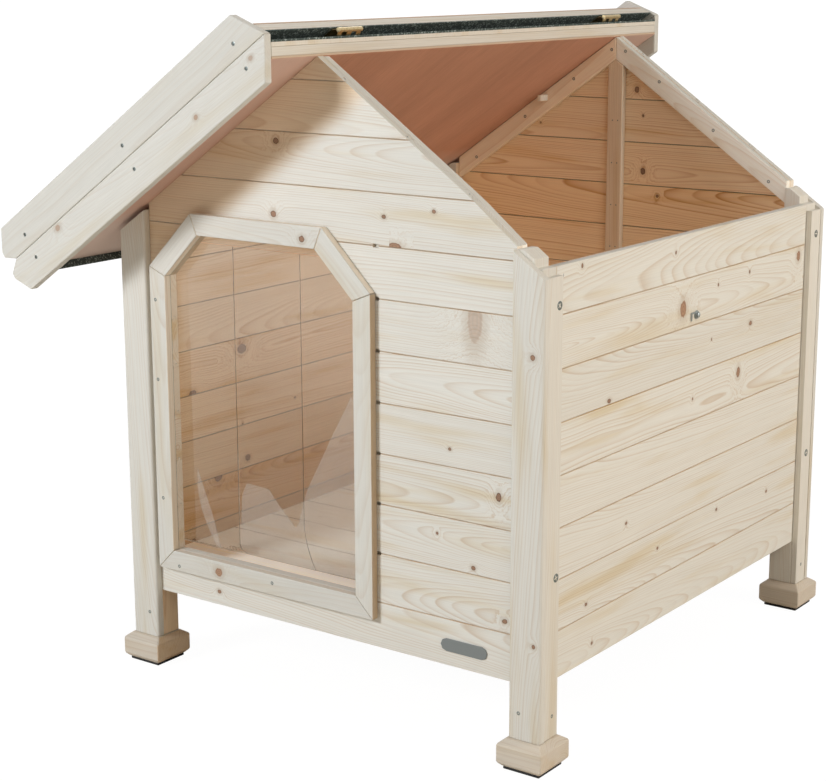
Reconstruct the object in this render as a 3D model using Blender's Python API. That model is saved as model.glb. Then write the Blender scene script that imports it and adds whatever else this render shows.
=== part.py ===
"""Wooden dog kennel with a two-part felted roof, built from its separate pieces.

Metres, +Z up. The front wall with the door faces -Y. The roof half of the +X side is hinged along the ridge
and is modelled folded over, upside down on the other half. The origin is on the ground, under the middle of
the box that holds the whole kennel.
"""

import math

import bmesh
import bpy
from mathutils import Matrix, Vector

# Fits
CLEAR = 0.0003  # gap between pieces that lie on each other
OVERRUN = 0.010  # how far a cutter runs past what it cuts
EDGE = 0.0012  # planed edge of a sawn board
ROUNDED_EDGE = 0.0025  # eased edge of a board that a hand or a paw meets

# Walls of tongued and grooved boards
WALL_DEPTH = 0.795  # outer face of the front wall to outer face of the rear wall
WALL_BOTTOM = 0.115
GABLE_APEX = 0.911
BOARD_THICKNESS = 0.012
BOARD_PITCH = 0.070
BOTTOM_BOARD = 0.065
LEAST_BOARD = 0.012  # the top board is no narrower than this
GROOVE_WIDTH = 0.003
GROOVE_DEPTH = 0.0015
INNER_GROOVE_WIDTH = 0.0016
INNER_GROOVE_DEPTH = 0.0008
SIDE_WALL_DROP = 0.006  # top of a side wall below the gable's slope

# Legs: a face board in front of a side post
LEG_OUTER = 0.363  # middle of the kennel to the outer face of a leg
LEG_WIDTH = 0.049
LEG_BOARD_THICKNESS = 0.012
LEG_BOARD_ROUND = 0.004
LEG_BOARD_DROP = 0.009  # its sloped top below the gable's slope
POST_DEPTH = 0.032
POST_SETBACK = 0.001  # the post's outer face behind the face board's edge
POST_STRIP = 0.010  # outer strip of the post, which stands proud of the side wall
POST_FLAT = 0.010  # level part of the post's top
POST_TOP_GAP = 0.003  # sloped part of the post's top below the gable's slope
SEAM_WIDTH = 0.002  # groove between the post's core and its strip
SEAM_DEPTH = 0.0015

# Feet
FOOT_WIDTH = 0.070
FOOT_HEIGHT = 0.043
FOOT_SHOULDER = 0.035
FOOT_CHAMFER = 0.006
FOOT_LEDGE = 0.001  # the foot's top around the leg's end
PAD_WIDTH = 0.056
PAD_HEIGHT = 0.004

# Gable framing inside
RAFTER_WIDTH = 0.030
RAFTER_THICKNESS = 0.012
STUD_WIDTH = 0.028
STUD_THICKNESS = 0.012

# Floor
FLOOR_RAISE = 0.044  # top of the floor above the walls' lower edge
FLOOR_THICKNESS = 0.012
FLOOR_BOARD_PITCH = 0.090
BEARER_WIDTH = 0.020
BEARER_HEIGHT = 0.026

# Door way and its trim
DOOR_FROM_LEG = 0.0075  # trim's outer edge from the left leg
DOOR_WIDTH = 0.399
DOOR_RAISE = 0.041  # trim's lower edge above the walls' lower edge
DOOR_BELOW_GABLE = 0.067  # trim's clipped corner below the gable's slope
DOOR_CLIP = 0.080
TRIM_WIDTH = 0.030
TRIM_THICKNESS = 0.012

# Curtain of clear flexible strips, hung inside the door way
CURTAIN_OVERLAP = 0.012  # past the opening at each side
CURTAIN_THICKNESS = 0.0015
CURTAIN_FOLD_DROP = 0.014  # the slits start this far below the opening's top
CURTAIN_SILL_GAP = 0.001
SLIT = 0.0006
STRIP_NAMES = ("left", "middle", "right")
HEADER_RAISE = 0.002  # clamping batten above the opening's top
HEADER_HEIGHT = 0.012
HEADER_DEPTH = 0.010

# Roof, measured square to its slope
ROOF_SLOPE_DEG = 34.5
OVERHANG_FRONT = 0.104
OVERHANG_REAR = 0.118
LIP = 0.0065  # bargeboards proud of the felt
FELT = 0.0025
DECK = 0.005
ROOF_BATTEN = 0.010
UNDERSIDE = 0.0025
PANEL_LENGTH = 0.558
RIDGE_BATTEN_WIDTH = 0.045
EAVE_BATTEN_WIDTH = 0.040
FELT_DRIP = 0.011  # the felt hangs this far below the underside at the eave
FELT_BEND = 0.002
BARGE_WIDTH = 0.051
BARGE_THICKNESS = 0.013
BARGE_LENGTH = 0.584
NOSE_LENGTH = 0.020
NOSE_TOP = 0.013
NOSE_FLAT = 0.009
RIDGE_CLEAR = 0.0004  # between the two roof halves

# Ridge hinges
HINGE_FRONT_INSET = 0.173  # hinge centre from the roof's front end
HINGE_REAR_INSET = 0.159
HINGE_LENGTH = 0.050
KNUCKLE_COUNT = 5
BARREL_RADIUS = 0.0032
PIN_RADIUS = 0.0016
PIN_CLEAR = 0.0004
LEAF_THICKNESS = 0.0012
LEAF_START = 0.0075
LEAF_END = 0.030

# Side hook, turning on its screw
HOOK_FROM_FRONT = 0.406
HOOK_DROP = 0.119  # screw below the side wall's top
HOOK_SCREW_RADIUS = 0.0016
HOOK_SCREW_LENGTH = 0.0034
HOOK_HEAD_RADIUS = 0.0038
HOOK_HEAD_HEIGHT = 0.002
HOOK_EYE_RADIUS = 0.0052
HOOK_THICKNESS = 0.002
HOOK_STANDOFF = 0.0006
HOOK_REACH = 0.0165
HOOK_TIP = 0.012

# Bare oval plate
PLATE_LENGTH = 0.075
PLATE_HEIGHT = 0.018
PLATE_THICKNESS = 0.0012
PLATE_FROM_LEG = 0.078  # its centre from the right leg
PLATE_RAISE = 0.029  # its centre above the walls' lower edge

# Counts of sides and steps
ROUND_SIDES = 20
CORNER_STEPS = 4

# What follows from the sizes above
SLOPE = math.radians(ROOF_SLOPE_DEG)
LEG_INNER = LEG_OUTER - LEG_WIDTH
POST_OUTER = LEG_OUTER - POST_SETBACK
SIDE_OUTER = POST_OUTER - POST_STRIP
SIDE_INNER = SIDE_OUTER - BOARD_THICKNESS
GABLE_HALF = LEG_INNER - CLEAR
FLOOR_TOP = WALL_BOTTOM + FLOOR_RAISE
FLOOR_BOTTOM = FLOOR_TOP - FLOOR_THICKNESS
RAFTER_DROP = RAFTER_WIDTH / math.cos(SLOPE)
INSIDE = BOARD_THICKNESS + CLEAR  # first plane behind a gable wall

DOOR_LEFT = -LEG_INNER + DOOR_FROM_LEG
DOOR_RIGHT = DOOR_LEFT + DOOR_WIDTH
DOOR_BOTTOM = WALL_BOTTOM + DOOR_RAISE

ROOF_BUILD = LIP + FELT + DECK + ROOF_BATTEN + UNDERSIDE
RIDGE_HEIGHT = GABLE_APEX + (ROOF_BUILD + CLEAR) / math.cos(SLOPE)
ROOF_FRONT = -OVERHANG_FRONT
ROOF_REAR = WALL_DEPTH + OVERHANG_REAR

WOOD = ("E6DCC8", 0.62, 0.0)
PLYWOOD = ("B07F60", 0.55, 0.0)
FELT_LOOK = ("27332F", 0.95, 0.0)
BRASS = ("B9974F", 0.35, 1.0)
ZINC = ("B4B7B8", 0.32, 1.0)
CLEAR_PLASTIC = ("DDE3E6", 0.08, 0.0)
RUBBER = ("1E1D1C", 0.85, 0.0)
GREY_PLATE = ("8C9394", 0.4, 0.6)


def roof_line(x):
    """Height of the gable's slope at a place across the kennel."""
    return GABLE_APEX - abs(x) * math.tan(SLOPE)


def along_depth(y, end):
    """A depth measured from the front wall's outer face or, at the rear, from the rear wall's."""
    return y if end == "front" else WALL_DEPTH - y


def side_sign(side):
    return -1 if side == "left" else 1


def linear(hex_colour):
    """A written screen colour as the values that a shader takes."""
    values = [int(hex_colour[i:i + 2], 16) / 255 for i in (0, 2, 4)]
    return [v / 12.92 if v <= 0.04045 else ((v + 0.055) / 1.055) ** 2.4 for v in values] + [1]


def new_material(name, look):
    colour, roughness, metallic = look
    material = bpy.data.materials.new(name)
    material.use_nodes = True
    shader = material.node_tree.nodes["Principled BSDF"]
    shader.inputs["Base Color"].default_value = linear(colour)
    shader.inputs["Roughness"].default_value = roughness
    shader.inputs["Metallic"].default_value = metallic
    return material


def new_object(name, shape):
    """Links the bmesh as an object of that name and frees it."""
    bmesh.ops.recalc_face_normals(shape, faces=shape.faces)
    mesh = bpy.data.meshes.new(name)
    shape.to_mesh(mesh)
    shape.free()
    piece = bpy.data.objects.new(name, mesh)
    bpy.context.scene.collection.objects.link(piece)
    return piece


def stacked(name, rings):
    """A closed solid through rings of equally many points, with a flat face at each end."""
    shape = bmesh.new()
    loops = [[shape.verts.new(point) for point in ring] for ring in rings]
    count = len(loops[0])
    for low, high in zip(loops, loops[1:]):
        for i in range(count):
            j = (i + 1) % count
            shape.faces.new((low[i], low[j], high[j], high[i]))
    shape.faces.new(loops[0])
    shape.faces.new(loops[-1])
    return new_object(name, shape)


def prism(name, outline, axis, start, end):
    """An outline in the plane square to an axis, carried along that axis from start to end."""
    def placed(point, along):
        a, b = point
        return {"X": (along, a, b), "Y": (a, along, b), "Z": (a, b, along)}[axis]
    return stacked(name, [[placed(point, along) for point in outline] for along in (start, end)])


def block(name, low, high):
    """A plain board between two corners."""
    outline = [(low[0], low[1]), (high[0], low[1]), (high[0], high[1]), (low[0], high[1])]
    return prism(name, outline, "Z", low[2], high[2])


def circle(radius, centre=(0, 0)):
    turns = [2 * math.pi * i / ROUND_SIDES for i in range(ROUND_SIDES)]
    return [(centre[0] + radius * math.cos(t), centre[1] + radius * math.sin(t)) for t in turns]


def arc(centre, radius, start_deg, end_deg):
    """Points on an arc, both ends among them."""
    turns = [math.radians(start_deg + (end_deg - start_deg) * i / CORNER_STEPS) for i in range(CORNER_STEPS + 1)]
    return [(centre[0] + radius * math.cos(t), centre[1] + radius * math.sin(t)) for t in turns]


def change(piece, tool, operation):
    """Cuts a piece with a tool shape, or joins them, and removes the tool."""
    step = piece.modifiers.new(operation.title(), "BOOLEAN")
    step.operation = operation
    step.solver = "EXACT"
    step.object = tool
    bpy.context.view_layer.update()
    graph = bpy.context.evaluated_depsgraph_get()
    mesh = bpy.data.meshes.new_from_object(piece.evaluated_get(graph))
    mesh.name = piece.name
    piece.modifiers.clear()
    piece.data = mesh
    bpy.data.objects.remove(tool)


def eased(piece, width, segments=1):
    """Planed or rounded edges."""
    bevel = piece.modifiers.new("eased edges", "BEVEL")
    bevel.width = width
    bevel.segments = segments
    bevel.limit_method = "ANGLE"
    bevel.angle_limit = math.radians(30)
    return piece


def smoothed(piece):
    piece.data.shade_smooth()
    piece.data.set_sharp_from_angle(angle=math.radians(35))
    return piece


def placed(piece, parent, look, origin=(0, 0, 0)):
    """Hangs a piece on its parent, with its own origin and its own material."""
    piece.data.transform(Matrix.Translation(-Vector(origin)))
    piece.location = origin
    piece.parent = parent
    piece.data.materials.clear()
    piece.data.materials.append(new_material(piece.name, look))
    return piece


def joint_heights(top):
    """Heights of the board joints of a wall, from the lowest board up."""
    heights = []
    height = WALL_BOTTOM + BOTTOM_BOARD
    while height < top - LEAST_BOARD:
        heights.append(height)
        height += BOARD_PITCH
    return heights


def grooved(places, face, depth, width):
    """The points of a V at each place along a face, in the order given."""
    points = []
    for place in places:
        step = width / 2 if places[-1] >= places[0] else -width / 2
        points += [(face, place - step), (face - depth, place), (face, place + step)]
    return points


def boarded_section(outer, inner, top):
    """Upright section of a boarded wall, with a V along each joint, finer on the inside."""
    joints = joint_heights(top)
    outward = math.copysign(1, outer - inner)
    section = [(outer, WALL_BOTTOM)]
    section += grooved(joints, outer, outward * GROOVE_DEPTH, GROOVE_WIDTH)
    section += [(outer, top), (inner, top)]
    section += grooved(joints[::-1], inner, -outward * INNER_GROOVE_DEPTH, INNER_GROOVE_WIDTH)
    section.append((inner, WALL_BOTTOM))
    return section


def door_outline(inset):
    """The door way's outline with its two clipped upper corners, drawn in by an inset."""
    left = DOOR_LEFT + inset
    right = DOOR_RIGHT - inset
    bottom = DOOR_BOTTOM + inset
    top = door_top() - inset
    clip = DOOR_CLIP - inset * (2 - math.sqrt(2))
    return [(left, bottom), (right, bottom), (right, top - clip), (right - clip, top), (left + clip, top),
            (left, top - clip)]


def door_top():
    """The trim's top: its clipped corner stays below the slope."""
    return roof_line(DOOR_LEFT + DOOR_CLIP) - DOOR_BELOW_GABLE


def towards(point, target, distance):
    """A point moved towards another."""
    step = Vector(target) - Vector(point)
    return tuple(Vector(point) + step.normalized() * distance)


def trimmed_below(outline, height_at):
    """The part of a convex outline below a slope that is given by its height at a place across."""
    kept = []
    for i, point in enumerate(outline):
        before = outline[i - 1]
        over = point[1] - height_at(point[0])
        over_before = before[1] - height_at(before[0])
        if (over > 0) != (over_before > 0):
            share = over_before / (over_before - over)
            kept.append(tuple(Vector(before).lerp(Vector(point), share)))
        if over <= 0:
            kept.append(point)
    return kept


def make_feet(root):
    """Four wooden feet with black pads under them."""
    for end in ("front", "rear"):
        for side in ("left", "right"):
            x = side_sign(side) * (LEG_OUTER - LEG_WIDTH / 2)
            y = along_depth((POST_DEPTH - LEG_BOARD_THICKNESS) / 2, end)
            neck = (LEG_WIDTH / 2 + FOOT_LEDGE, (POST_DEPTH + LEG_BOARD_THICKNESS) / 2 + FOOT_LEDGE)
            base = FOOT_WIDTH / 2 - FOOT_CHAMFER
            wide = FOOT_WIDTH / 2
            base_height = PAD_HEIGHT + CLEAR
            levels = [(base_height, base, base), (base_height + FOOT_CHAMFER, wide, wide),
                      (FOOT_SHOULDER, wide, wide), (FOOT_HEIGHT, neck[0], neck[1])]
            corners = ((-1, -1), (1, -1), (1, 1), (-1, 1))
            rings = [[(x + a * half_x, y + b * half_y, z) for a, b in corners] for z, half_x, half_y in levels]
            foot = eased(stacked(f"foot_{end}_{side}", rings), EDGE)
            placed(foot, root, WOOD, (x, y, base_height))
            half = PAD_WIDTH / 2
            pad = block(f"pad_{end}_{side}", (x - half, y - half, 0), (x + half, y + half, PAD_HEIGHT))
            placed(pad, root, RUBBER, (x, y, 0))


def leg_board(name, side, end):
    """Board in front of the post, its long outer edges rounded and its top cut to the slope."""
    sign = side_sign(side)
    low, high = LEG_INNER, LEG_OUTER
    front, back = -LEG_BOARD_THICKNESS, -CLEAR
    r = LEG_BOARD_ROUND
    plan = arc((low + r, front + r), r, 180, 270) + arc((high - r, front + r), r, 270, 360)
    plan += [(high, back), (low, back)]
    bottom = FOOT_HEIGHT + CLEAR
    rings = []
    for top in (False, True):
        rings.append([(sign * x, along_depth(y, end), roof_line(x) - LEG_BOARD_DROP if top else bottom)
                      for x, y in plan])
    return stacked(name, rings)


def side_post(name, side, end):
    """Post behind the face board: a core and an outer strip with a seam between them."""
    sign = side_sign(side)
    flat_end = LEG_INNER + POST_FLAT
    flat = roof_line(flat_end) - POST_TOP_GAP
    side_top = side_wall_top()
    bottom = FOOT_HEIGHT + CLEAR
    outline = [(LEG_INNER, bottom), (LEG_INNER, flat), (flat_end, flat),
               (SIDE_INNER, roof_line(SIDE_INNER) - POST_TOP_GAP), (SIDE_INNER, side_top),
               (SIDE_OUTER, side_top), (POST_OUTER, side_top - POST_STRIP * math.tan(SLOPE)), (POST_OUTER, bottom)]
    ends = sorted(along_depth(y, end) for y in (0, POST_DEPTH))
    post = prism(name, [(sign * x, z) for x, z in outline], "Y", *ends)
    inner_face = along_depth(POST_DEPTH, end)
    outward = 1 if end == "front" else -1
    half = SEAM_WIDTH / 2
    mouth = half * (SEAM_DEPTH + OVERRUN) / SEAM_DEPTH
    seam = [(sign * SIDE_OUTER, inner_face - outward * SEAM_DEPTH),
            (sign * SIDE_OUTER + mouth, inner_face + outward * OVERRUN),
            (sign * SIDE_OUTER - mouth, inner_face + outward * OVERRUN)]
    change(post, prism("seam", seam, "Z", -OVERRUN, GABLE_APEX), "DIFFERENCE")
    return post


def make_legs(root):
    for end in ("front", "rear"):
        for side in ("left", "right"):
            origin = (side_sign(side) * LEG_INNER, along_depth(0, end), FOOT_HEIGHT + CLEAR)
            board = smoothed(leg_board(f"leg_board_{end}_{side}", side, end))
            placed(board, root, WOOD, origin)
            placed(side_post(f"leg_post_{end}_{side}", side, end), root, WOOD, origin)


def side_wall_top():
    return roof_line(SIDE_OUTER) - SIDE_WALL_DROP


def gable_wall(name, end):
    """Boarded gable wall between the posts, up to the slopes."""
    ends = [along_depth(y, end) for y in (0, BOARD_THICKNESS)]
    section = boarded_section(ends[0], ends[1], GABLE_APEX + OVERRUN)
    wall = prism(name, section, "X", -GABLE_HALF - OVERRUN, GABLE_HALF + OVERRUN)
    low = WALL_BOTTOM - OVERRUN
    gable = [(-GABLE_HALF, low), (GABLE_HALF, low), (GABLE_HALF, roof_line(GABLE_HALF)), (0, GABLE_APEX),
             (-GABLE_HALF, roof_line(GABLE_HALF))]
    change(wall, prism("gable", gable, "Y", min(ends) - OVERRUN, max(ends) + OVERRUN), "INTERSECT")
    return wall


def make_walls(root):
    front = gable_wall("front_wall", "front")
    opening = prism("opening", door_outline(TRIM_WIDTH), "Y", -OVERRUN, BOARD_THICKNESS + OVERRUN)
    change(front, opening, "DIFFERENCE")
    placed(front, root, WOOD, (0, 0, WALL_BOTTOM))
    placed(gable_wall("rear_wall", "rear"), root, WOOD, (0, WALL_DEPTH, WALL_BOTTOM))
    for side in ("left", "right"):
        sign = side_sign(side)
        section = boarded_section(sign * SIDE_OUTER, sign * (SIDE_INNER + CLEAR), side_wall_top())
        wall = prism(f"{side}_wall", section, "Y", POST_DEPTH + CLEAR, WALL_DEPTH - POST_DEPTH - CLEAR)
        placed(wall, root, WOOD, (sign * SIDE_OUTER, POST_DEPTH, WALL_BOTTOM))


def rafter_underside(x):
    """Height of the lower edge of the gable rafters."""
    return roof_line(x) - RAFTER_DROP


def make_gable_frames(root):
    """Rafters behind both gables, and the stud in the middle of the rear one."""
    for end in ("front", "rear"):
        ends = sorted(along_depth(y, end) for y in (INSIDE, INSIDE + RAFTER_THICKNESS))
        for side in ("left", "right"):
            near, far = CLEAR / 2, GABLE_HALF
            outline = [(near, roof_line(near)), (far, roof_line(far)), (far, rafter_underside(far)),
                       (near, rafter_underside(near))]
            sign = side_sign(side)
            rafter = prism(f"rafter_{end}_{side}", [(sign * x, z) for x, z in outline], "Y", *ends)
            placed(eased(rafter, EDGE), root, WOOD, (0, ends[0], GABLE_APEX))
    half = STUD_WIDTH / 2
    foot = FLOOR_TOP + CLEAR
    top = [(half, rafter_underside(half) - CLEAR), (0, rafter_underside(0) - CLEAR),
           (-half, rafter_underside(half) - CLEAR)]
    ends = sorted(along_depth(y, "rear") for y in (INSIDE, INSIDE + STUD_THICKNESS))
    stud = prism("rear_stud", [(-half, foot), (half, foot)] + top, "Y", *ends)
    placed(eased(stud, EDGE), root, WOOD, (0, ends[0], foot))


def make_floor(root):
    """Boarded floor, notched round the four posts, on two bearers."""
    start = INSIDE
    end = WALL_DEPTH - INSIDE
    joints = []
    place = start + FLOOR_BOARD_PITCH
    while place < end - LEAST_BOARD:
        joints.append(place)
        place += FLOOR_BOARD_PITCH
    top = [(y, z) for z, y in grooved(joints[::-1], FLOOR_TOP, INNER_GROOVE_DEPTH, INNER_GROOVE_WIDTH)]
    section = [(start, FLOOR_BOTTOM), (end, FLOOR_BOTTOM), (end, FLOOR_TOP)] + top + [(start, FLOOR_TOP)]
    half = SIDE_INNER - CLEAR
    floor = prism("floor", section, "X", -half, half)
    for end_name in ("front", "rear"):
        depth = sorted(along_depth(y, end_name) for y in (-OVERRUN, POST_DEPTH + CLEAR))
        for side in ("left", "right"):
            across = sorted(side_sign(side) * x for x in (GABLE_HALF, SIDE_INNER + OVERRUN))
            low = (across[0], depth[0], FLOOR_BOTTOM - OVERRUN)
            high = (across[1], depth[1], FLOOR_TOP + OVERRUN)
            change(floor, block("notch", low, high), "DIFFERENCE")
    placed(floor, root, WOOD, (0, start, FLOOR_BOTTOM))
    for side in ("left", "right"):
        across = sorted(side_sign(side) * x for x in (half, half - BEARER_WIDTH))
        low = (across[0], POST_DEPTH + CLEAR, FLOOR_BOTTOM - CLEAR - BEARER_HEIGHT)
        high = (across[1], WALL_DEPTH - POST_DEPTH - CLEAR, FLOOR_BOTTOM - CLEAR)
        placed(eased(block(f"floor_bearer_{side}", low, high), EDGE), root, WOOD, low)


def make_trim(root):
    """Six mitred boards round the door way."""
    outer = door_outline(0)
    inner = door_outline(TRIM_WIDTH)
    names = ("bottom", "right", "right_clip", "top", "left_clip", "left")
    for i, name in enumerate(names):
        j = (i + 1) % len(names)
        outline = [towards(outer[i], outer[j], CLEAR), towards(outer[j], outer[i], CLEAR),
                   towards(inner[j], inner[i], CLEAR), towards(inner[i], inner[j], CLEAR)]
        board = prism(f"trim_{name}", outline, "Y", -TRIM_THICKNESS, -CLEAR)
        placed(eased(board, ROUNDED_EDGE, 2), root, WOOD, (outline[0][0], 0, outline[0][1]))


def make_curtain(root):
    """A clear sheet clamped above the opening, slit into three strips that swing from the fold."""
    opening = door_outline(TRIM_WIDTH)
    left = opening[0][0] - CURTAIN_OVERLAP
    right = opening[1][0] + CURTAIN_OVERLAP
    opening_top = opening[3][1]
    fold = opening_top - CURTAIN_FOLD_DROP
    back = INSIDE + CURTAIN_THICKNESS
    axis_y = INSIDE + CURTAIN_THICKNESS / 2
    band_bottom = fold + CURTAIN_THICKNESS / 2
    header_bottom = opening_top + HEADER_RAISE
    header_top = header_bottom + HEADER_HEIGHT

    def below_rafters(x):
        return rafter_underside(x) - CLEAR
    band = [(left, band_bottom), (right, band_bottom), (right, header_top), (left, header_top)]
    placed(prism("curtain_band", trimmed_below(band, below_rafters), "Y", INSIDE, back), root, CLEAR_PLASTIC,
           (left, INSIDE, band_bottom))
    header = [(left, header_bottom), (right, header_bottom), (right, header_top), (left, header_top)]
    bar = prism("curtain_header", trimmed_below(header, below_rafters), "Y", back + CLEAR,
                back + CLEAR + HEADER_DEPTH)
    placed(bar, root, WOOD, (left, back + CLEAR, header_bottom))
    bottom = opening[0][1] + CURTAIN_SILL_GAP
    width = (right - left) / len(STRIP_NAMES)
    for i, name in enumerate(STRIP_NAMES):
        low = (left + i * width + SLIT / 2, INSIDE, bottom)
        high = (left + (i + 1) * width - SLIT / 2, back, fold - CLEAR)
        strip = block(f"curtain_strip_{name}", low, high)
        placed(strip, root, CLEAR_PLASTIC, ((low[0] + high[0]) / 2, axis_y, fold))


def ridge_end(depth):
    """Where the plumb cut at the ridge meets a plane this deep below a roof half's top edge."""
    return RIDGE_CLEAR / 2 / math.cos(SLOPE) + depth * math.tan(SLOPE)


def roof_layer(top, bottom, end):
    """Section of a roof layer between two depths, from the plumb ridge cut to its far end."""
    return [(ridge_end(top), -top), (end, -top), (end, -bottom), (ridge_end(bottom), -bottom)]


def felt_section(top, bottom):
    """Section of the felt: along the deck, bent over the eave and hanging below the underside."""
    outer = PANEL_LENGTH + FELT
    centre = (outer - FELT_BEND, -top - FELT_BEND)
    hang = -ROOF_BUILD - FELT_DRIP
    section = [(ridge_end(top), -top)] + arc(centre, FELT_BEND, 90, 0)
    return section + [(outer, hang), (PANEL_LENGTH + CLEAR, hang), (PANEL_LENGTH + CLEAR, -bottom),
                      (ridge_end(bottom), -bottom)]


def barge_outline():
    """Bargeboard from its plumb ridge end to its blunt nose."""
    top = RIDGE_CLEAR / 2
    nose = BARGE_LENGTH + NOSE_LENGTH
    return [(ridge_end(top), -top), (BARGE_LENGTH, -top), (nose, -NOSE_TOP), (nose, -NOSE_TOP - NOSE_FLAT),
            (BARGE_LENGTH, -BARGE_WIDTH), (ridge_end(BARGE_WIDTH), -BARGE_WIDTH)]


def make_roof_half(side, frame):
    """Sandwich of felt, deck, battens and plywood between two bargeboards.

    In the frame of a roof half, X runs down the slope from the ridge axis and Z stands out of the roof.
    """
    def reach(low, high):
        """A stretch of the kennel's depth in the frame of this half, which faces the other way at the left."""
        return (low, high) if side == "right" else (-high, -low)
    panel = reach(ROOF_FRONT + BARGE_THICKNESS + CLEAR, ROOF_REAR - BARGE_THICKNESS - CLEAR)
    felt_top = LIP
    deck_top = felt_top + FELT
    batten_top = deck_top + DECK
    underside_top = batten_top + ROOF_BATTEN
    underside_bottom = underside_top + UNDERSIDE
    eave_batten_start = PANEL_LENGTH - EAVE_BATTEN_WIDTH
    batten_bottom = underside_top - CLEAR
    ridge_batten = roof_layer(batten_top, batten_bottom, RIDGE_BATTEN_WIDTH)
    eave_batten = [(eave_batten_start, -batten_top), (PANEL_LENGTH, -batten_top), (PANEL_LENGTH, -batten_bottom),
                   (eave_batten_start, -batten_bottom)]
    pieces = {
        "felt": (felt_section(felt_top, deck_top - CLEAR), FELT_LOOK),
        "deck": (roof_layer(deck_top, batten_top - CLEAR, PANEL_LENGTH), PLYWOOD),
        "ridge_batten": (ridge_batten, WOOD),
        "eave_batten": (eave_batten, WOOD),
        "underside": (roof_layer(underside_top, underside_bottom, PANEL_LENGTH), PLYWOOD),
    }
    for name, (section, look) in pieces.items():
        layer = prism(f"roof_{side}_{name}", section, "Y", *panel)
        placed(layer, frame, look, (0, panel[0], 0))
    for end, low in (("front", ROOF_FRONT), ("rear", ROOF_REAR - BARGE_THICKNESS)):
        ends = reach(low, low + BARGE_THICKNESS)
        board = prism(f"bargeboard_{end}_{side}", barge_outline(), "Y", *ends)
        placed(board, frame, WOOD, (0, ends[0], 0))
    for end, y in (("front", ROOF_FRONT + HINGE_FRONT_INSET), ("rear", ROOF_REAR - HINGE_REAR_INSET)):
        start, stop = reach(y - HINGE_LENGTH / 2, y + HINGE_LENGTH / 2)
        leaf = hinge_leaf(f"hinge_{end}_leaf_{side}", start, stop, side == "left")
        placed(smoothed(leaf), frame, BRASS, (0, start, 0))


def hinge_leaf(name, start, stop, carries_pin):
    """Leaf on the felt, cranked up to its knuckles on the ridge axis. One leaf carries the pin."""
    low = -LIP + CLEAR
    plate = [(LEAF_START, low), (LEAF_END, low), (LEAF_END, low + LEAF_THICKNESS),
             (LEAF_START, low + LEAF_THICKNESS)]
    leaf = prism(name, plate, "Y", start, stop)
    root = Vector((BARREL_RADIUS, -BARREL_RADIUS)) / 2
    tip = Vector((LEAF_START + LEAF_THICKNESS, low + LEAF_THICKNESS / 2))
    side = (tip - root).normalized().orthogonal() * LEAF_THICKNESS / 2
    crank = [tuple(root - side), tuple(tip - side), tuple(tip + side), tuple(root + side)]
    pitch = (stop - start) / KNUCKLE_COUNT
    first = 0 if carries_pin else 1
    for i in range(first, KNUCKLE_COUNT, 2):
        ends = (start + i * pitch + CLEAR / 2, start + (i + 1) * pitch - CLEAR / 2)
        knuckle = prism("knuckle", circle(BARREL_RADIUS), "Y", *ends)
        change(knuckle, prism("crank", crank, "Y", ends[0] + CLEAR, ends[1] - CLEAR), "UNION")
        change(leaf, knuckle, "UNION")
    if carries_pin:
        change(leaf, prism("pin", circle(PIN_RADIUS), "Y", start + CLEAR, stop - CLEAR), "UNION")
    else:
        bore = prism("bore", circle(PIN_RADIUS + PIN_CLEAR), "Y", start - OVERRUN, stop + OVERRUN)
        change(leaf, bore, "DIFFERENCE")
    return leaf


def make_hook(root):
    """Small hook that turns on a round-headed screw in the right wall."""
    face = SIDE_OUTER + CLEAR
    z = side_wall_top() - HOOK_DROP
    centre = (HOOK_FROM_FRONT, z)
    profile = [(HOOK_SCREW_RADIUS, 0), (HOOK_SCREW_RADIUS, HOOK_SCREW_LENGTH),
               (HOOK_HEAD_RADIUS, HOOK_SCREW_LENGTH), (HOOK_HEAD_RADIUS, HOOK_SCREW_LENGTH + HOOK_HEAD_HEIGHT / 2),
               (HOOK_HEAD_RADIUS / 2, HOOK_SCREW_LENGTH + HOOK_HEAD_HEIGHT)]
    rings = [[(face + along, y, height) for y, height in circle(radius, centre)] for radius, along in profile]
    screw = stacked("hook_screw", rings)
    placed(smoothed(screw), root, ZINC, (face, *centre))
    start = face + HOOK_STANDOFF
    ends = (start, start + HOOK_THICKNESS)
    hook = prism("side_hook", circle(HOOK_EYE_RADIUS, centre), "X", *ends)
    top = z + HOOK_EYE_RADIUS
    tip = HOOK_FROM_FRONT - HOOK_REACH
    half = HOOK_THICKNESS / 2
    arm = [(HOOK_FROM_FRONT, top - HOOK_THICKNESS), (HOOK_FROM_FRONT, top), (tip - half, top),
           (tip - half, top - HOOK_TIP), (tip + half, top - HOOK_TIP), (tip + half, top - HOOK_THICKNESS)]
    change(hook, prism("arm", arm, "X", start + CLEAR, start + HOOK_THICKNESS - CLEAR), "UNION")
    bore = circle(HOOK_SCREW_RADIUS + PIN_CLEAR, centre)
    change(hook, prism("bore", bore, "X", start - OVERRUN, start + OVERRUN), "DIFFERENCE")
    placed(smoothed(hook), root, ZINC, (face, *centre))


def make_plate(root):
    """Bare plate with round ends, low on the front wall."""
    x = LEG_INNER - PLATE_FROM_LEG
    z = WALL_BOTTOM + PLATE_RAISE
    r = PLATE_HEIGHT / 2
    straight = PLATE_LENGTH / 2 - r
    outline = arc((x + straight, z), r, -90, 90) + arc((x - straight, z), r, 90, 270)
    plate = prism("blank_plate", outline, "Y", -CLEAR - PLATE_THICKNESS, -CLEAR)
    placed(smoothed(plate), root, GREY_PLATE, (x, 0, z))


def new_frame(name, parent, location, rotation):
    """An empty that carries pieces."""
    frame = bpy.data.objects.new(name, None)
    bpy.context.scene.collection.objects.link(frame)
    frame.parent = parent
    frame.location = location
    frame.rotation_euler = rotation
    return frame


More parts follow.
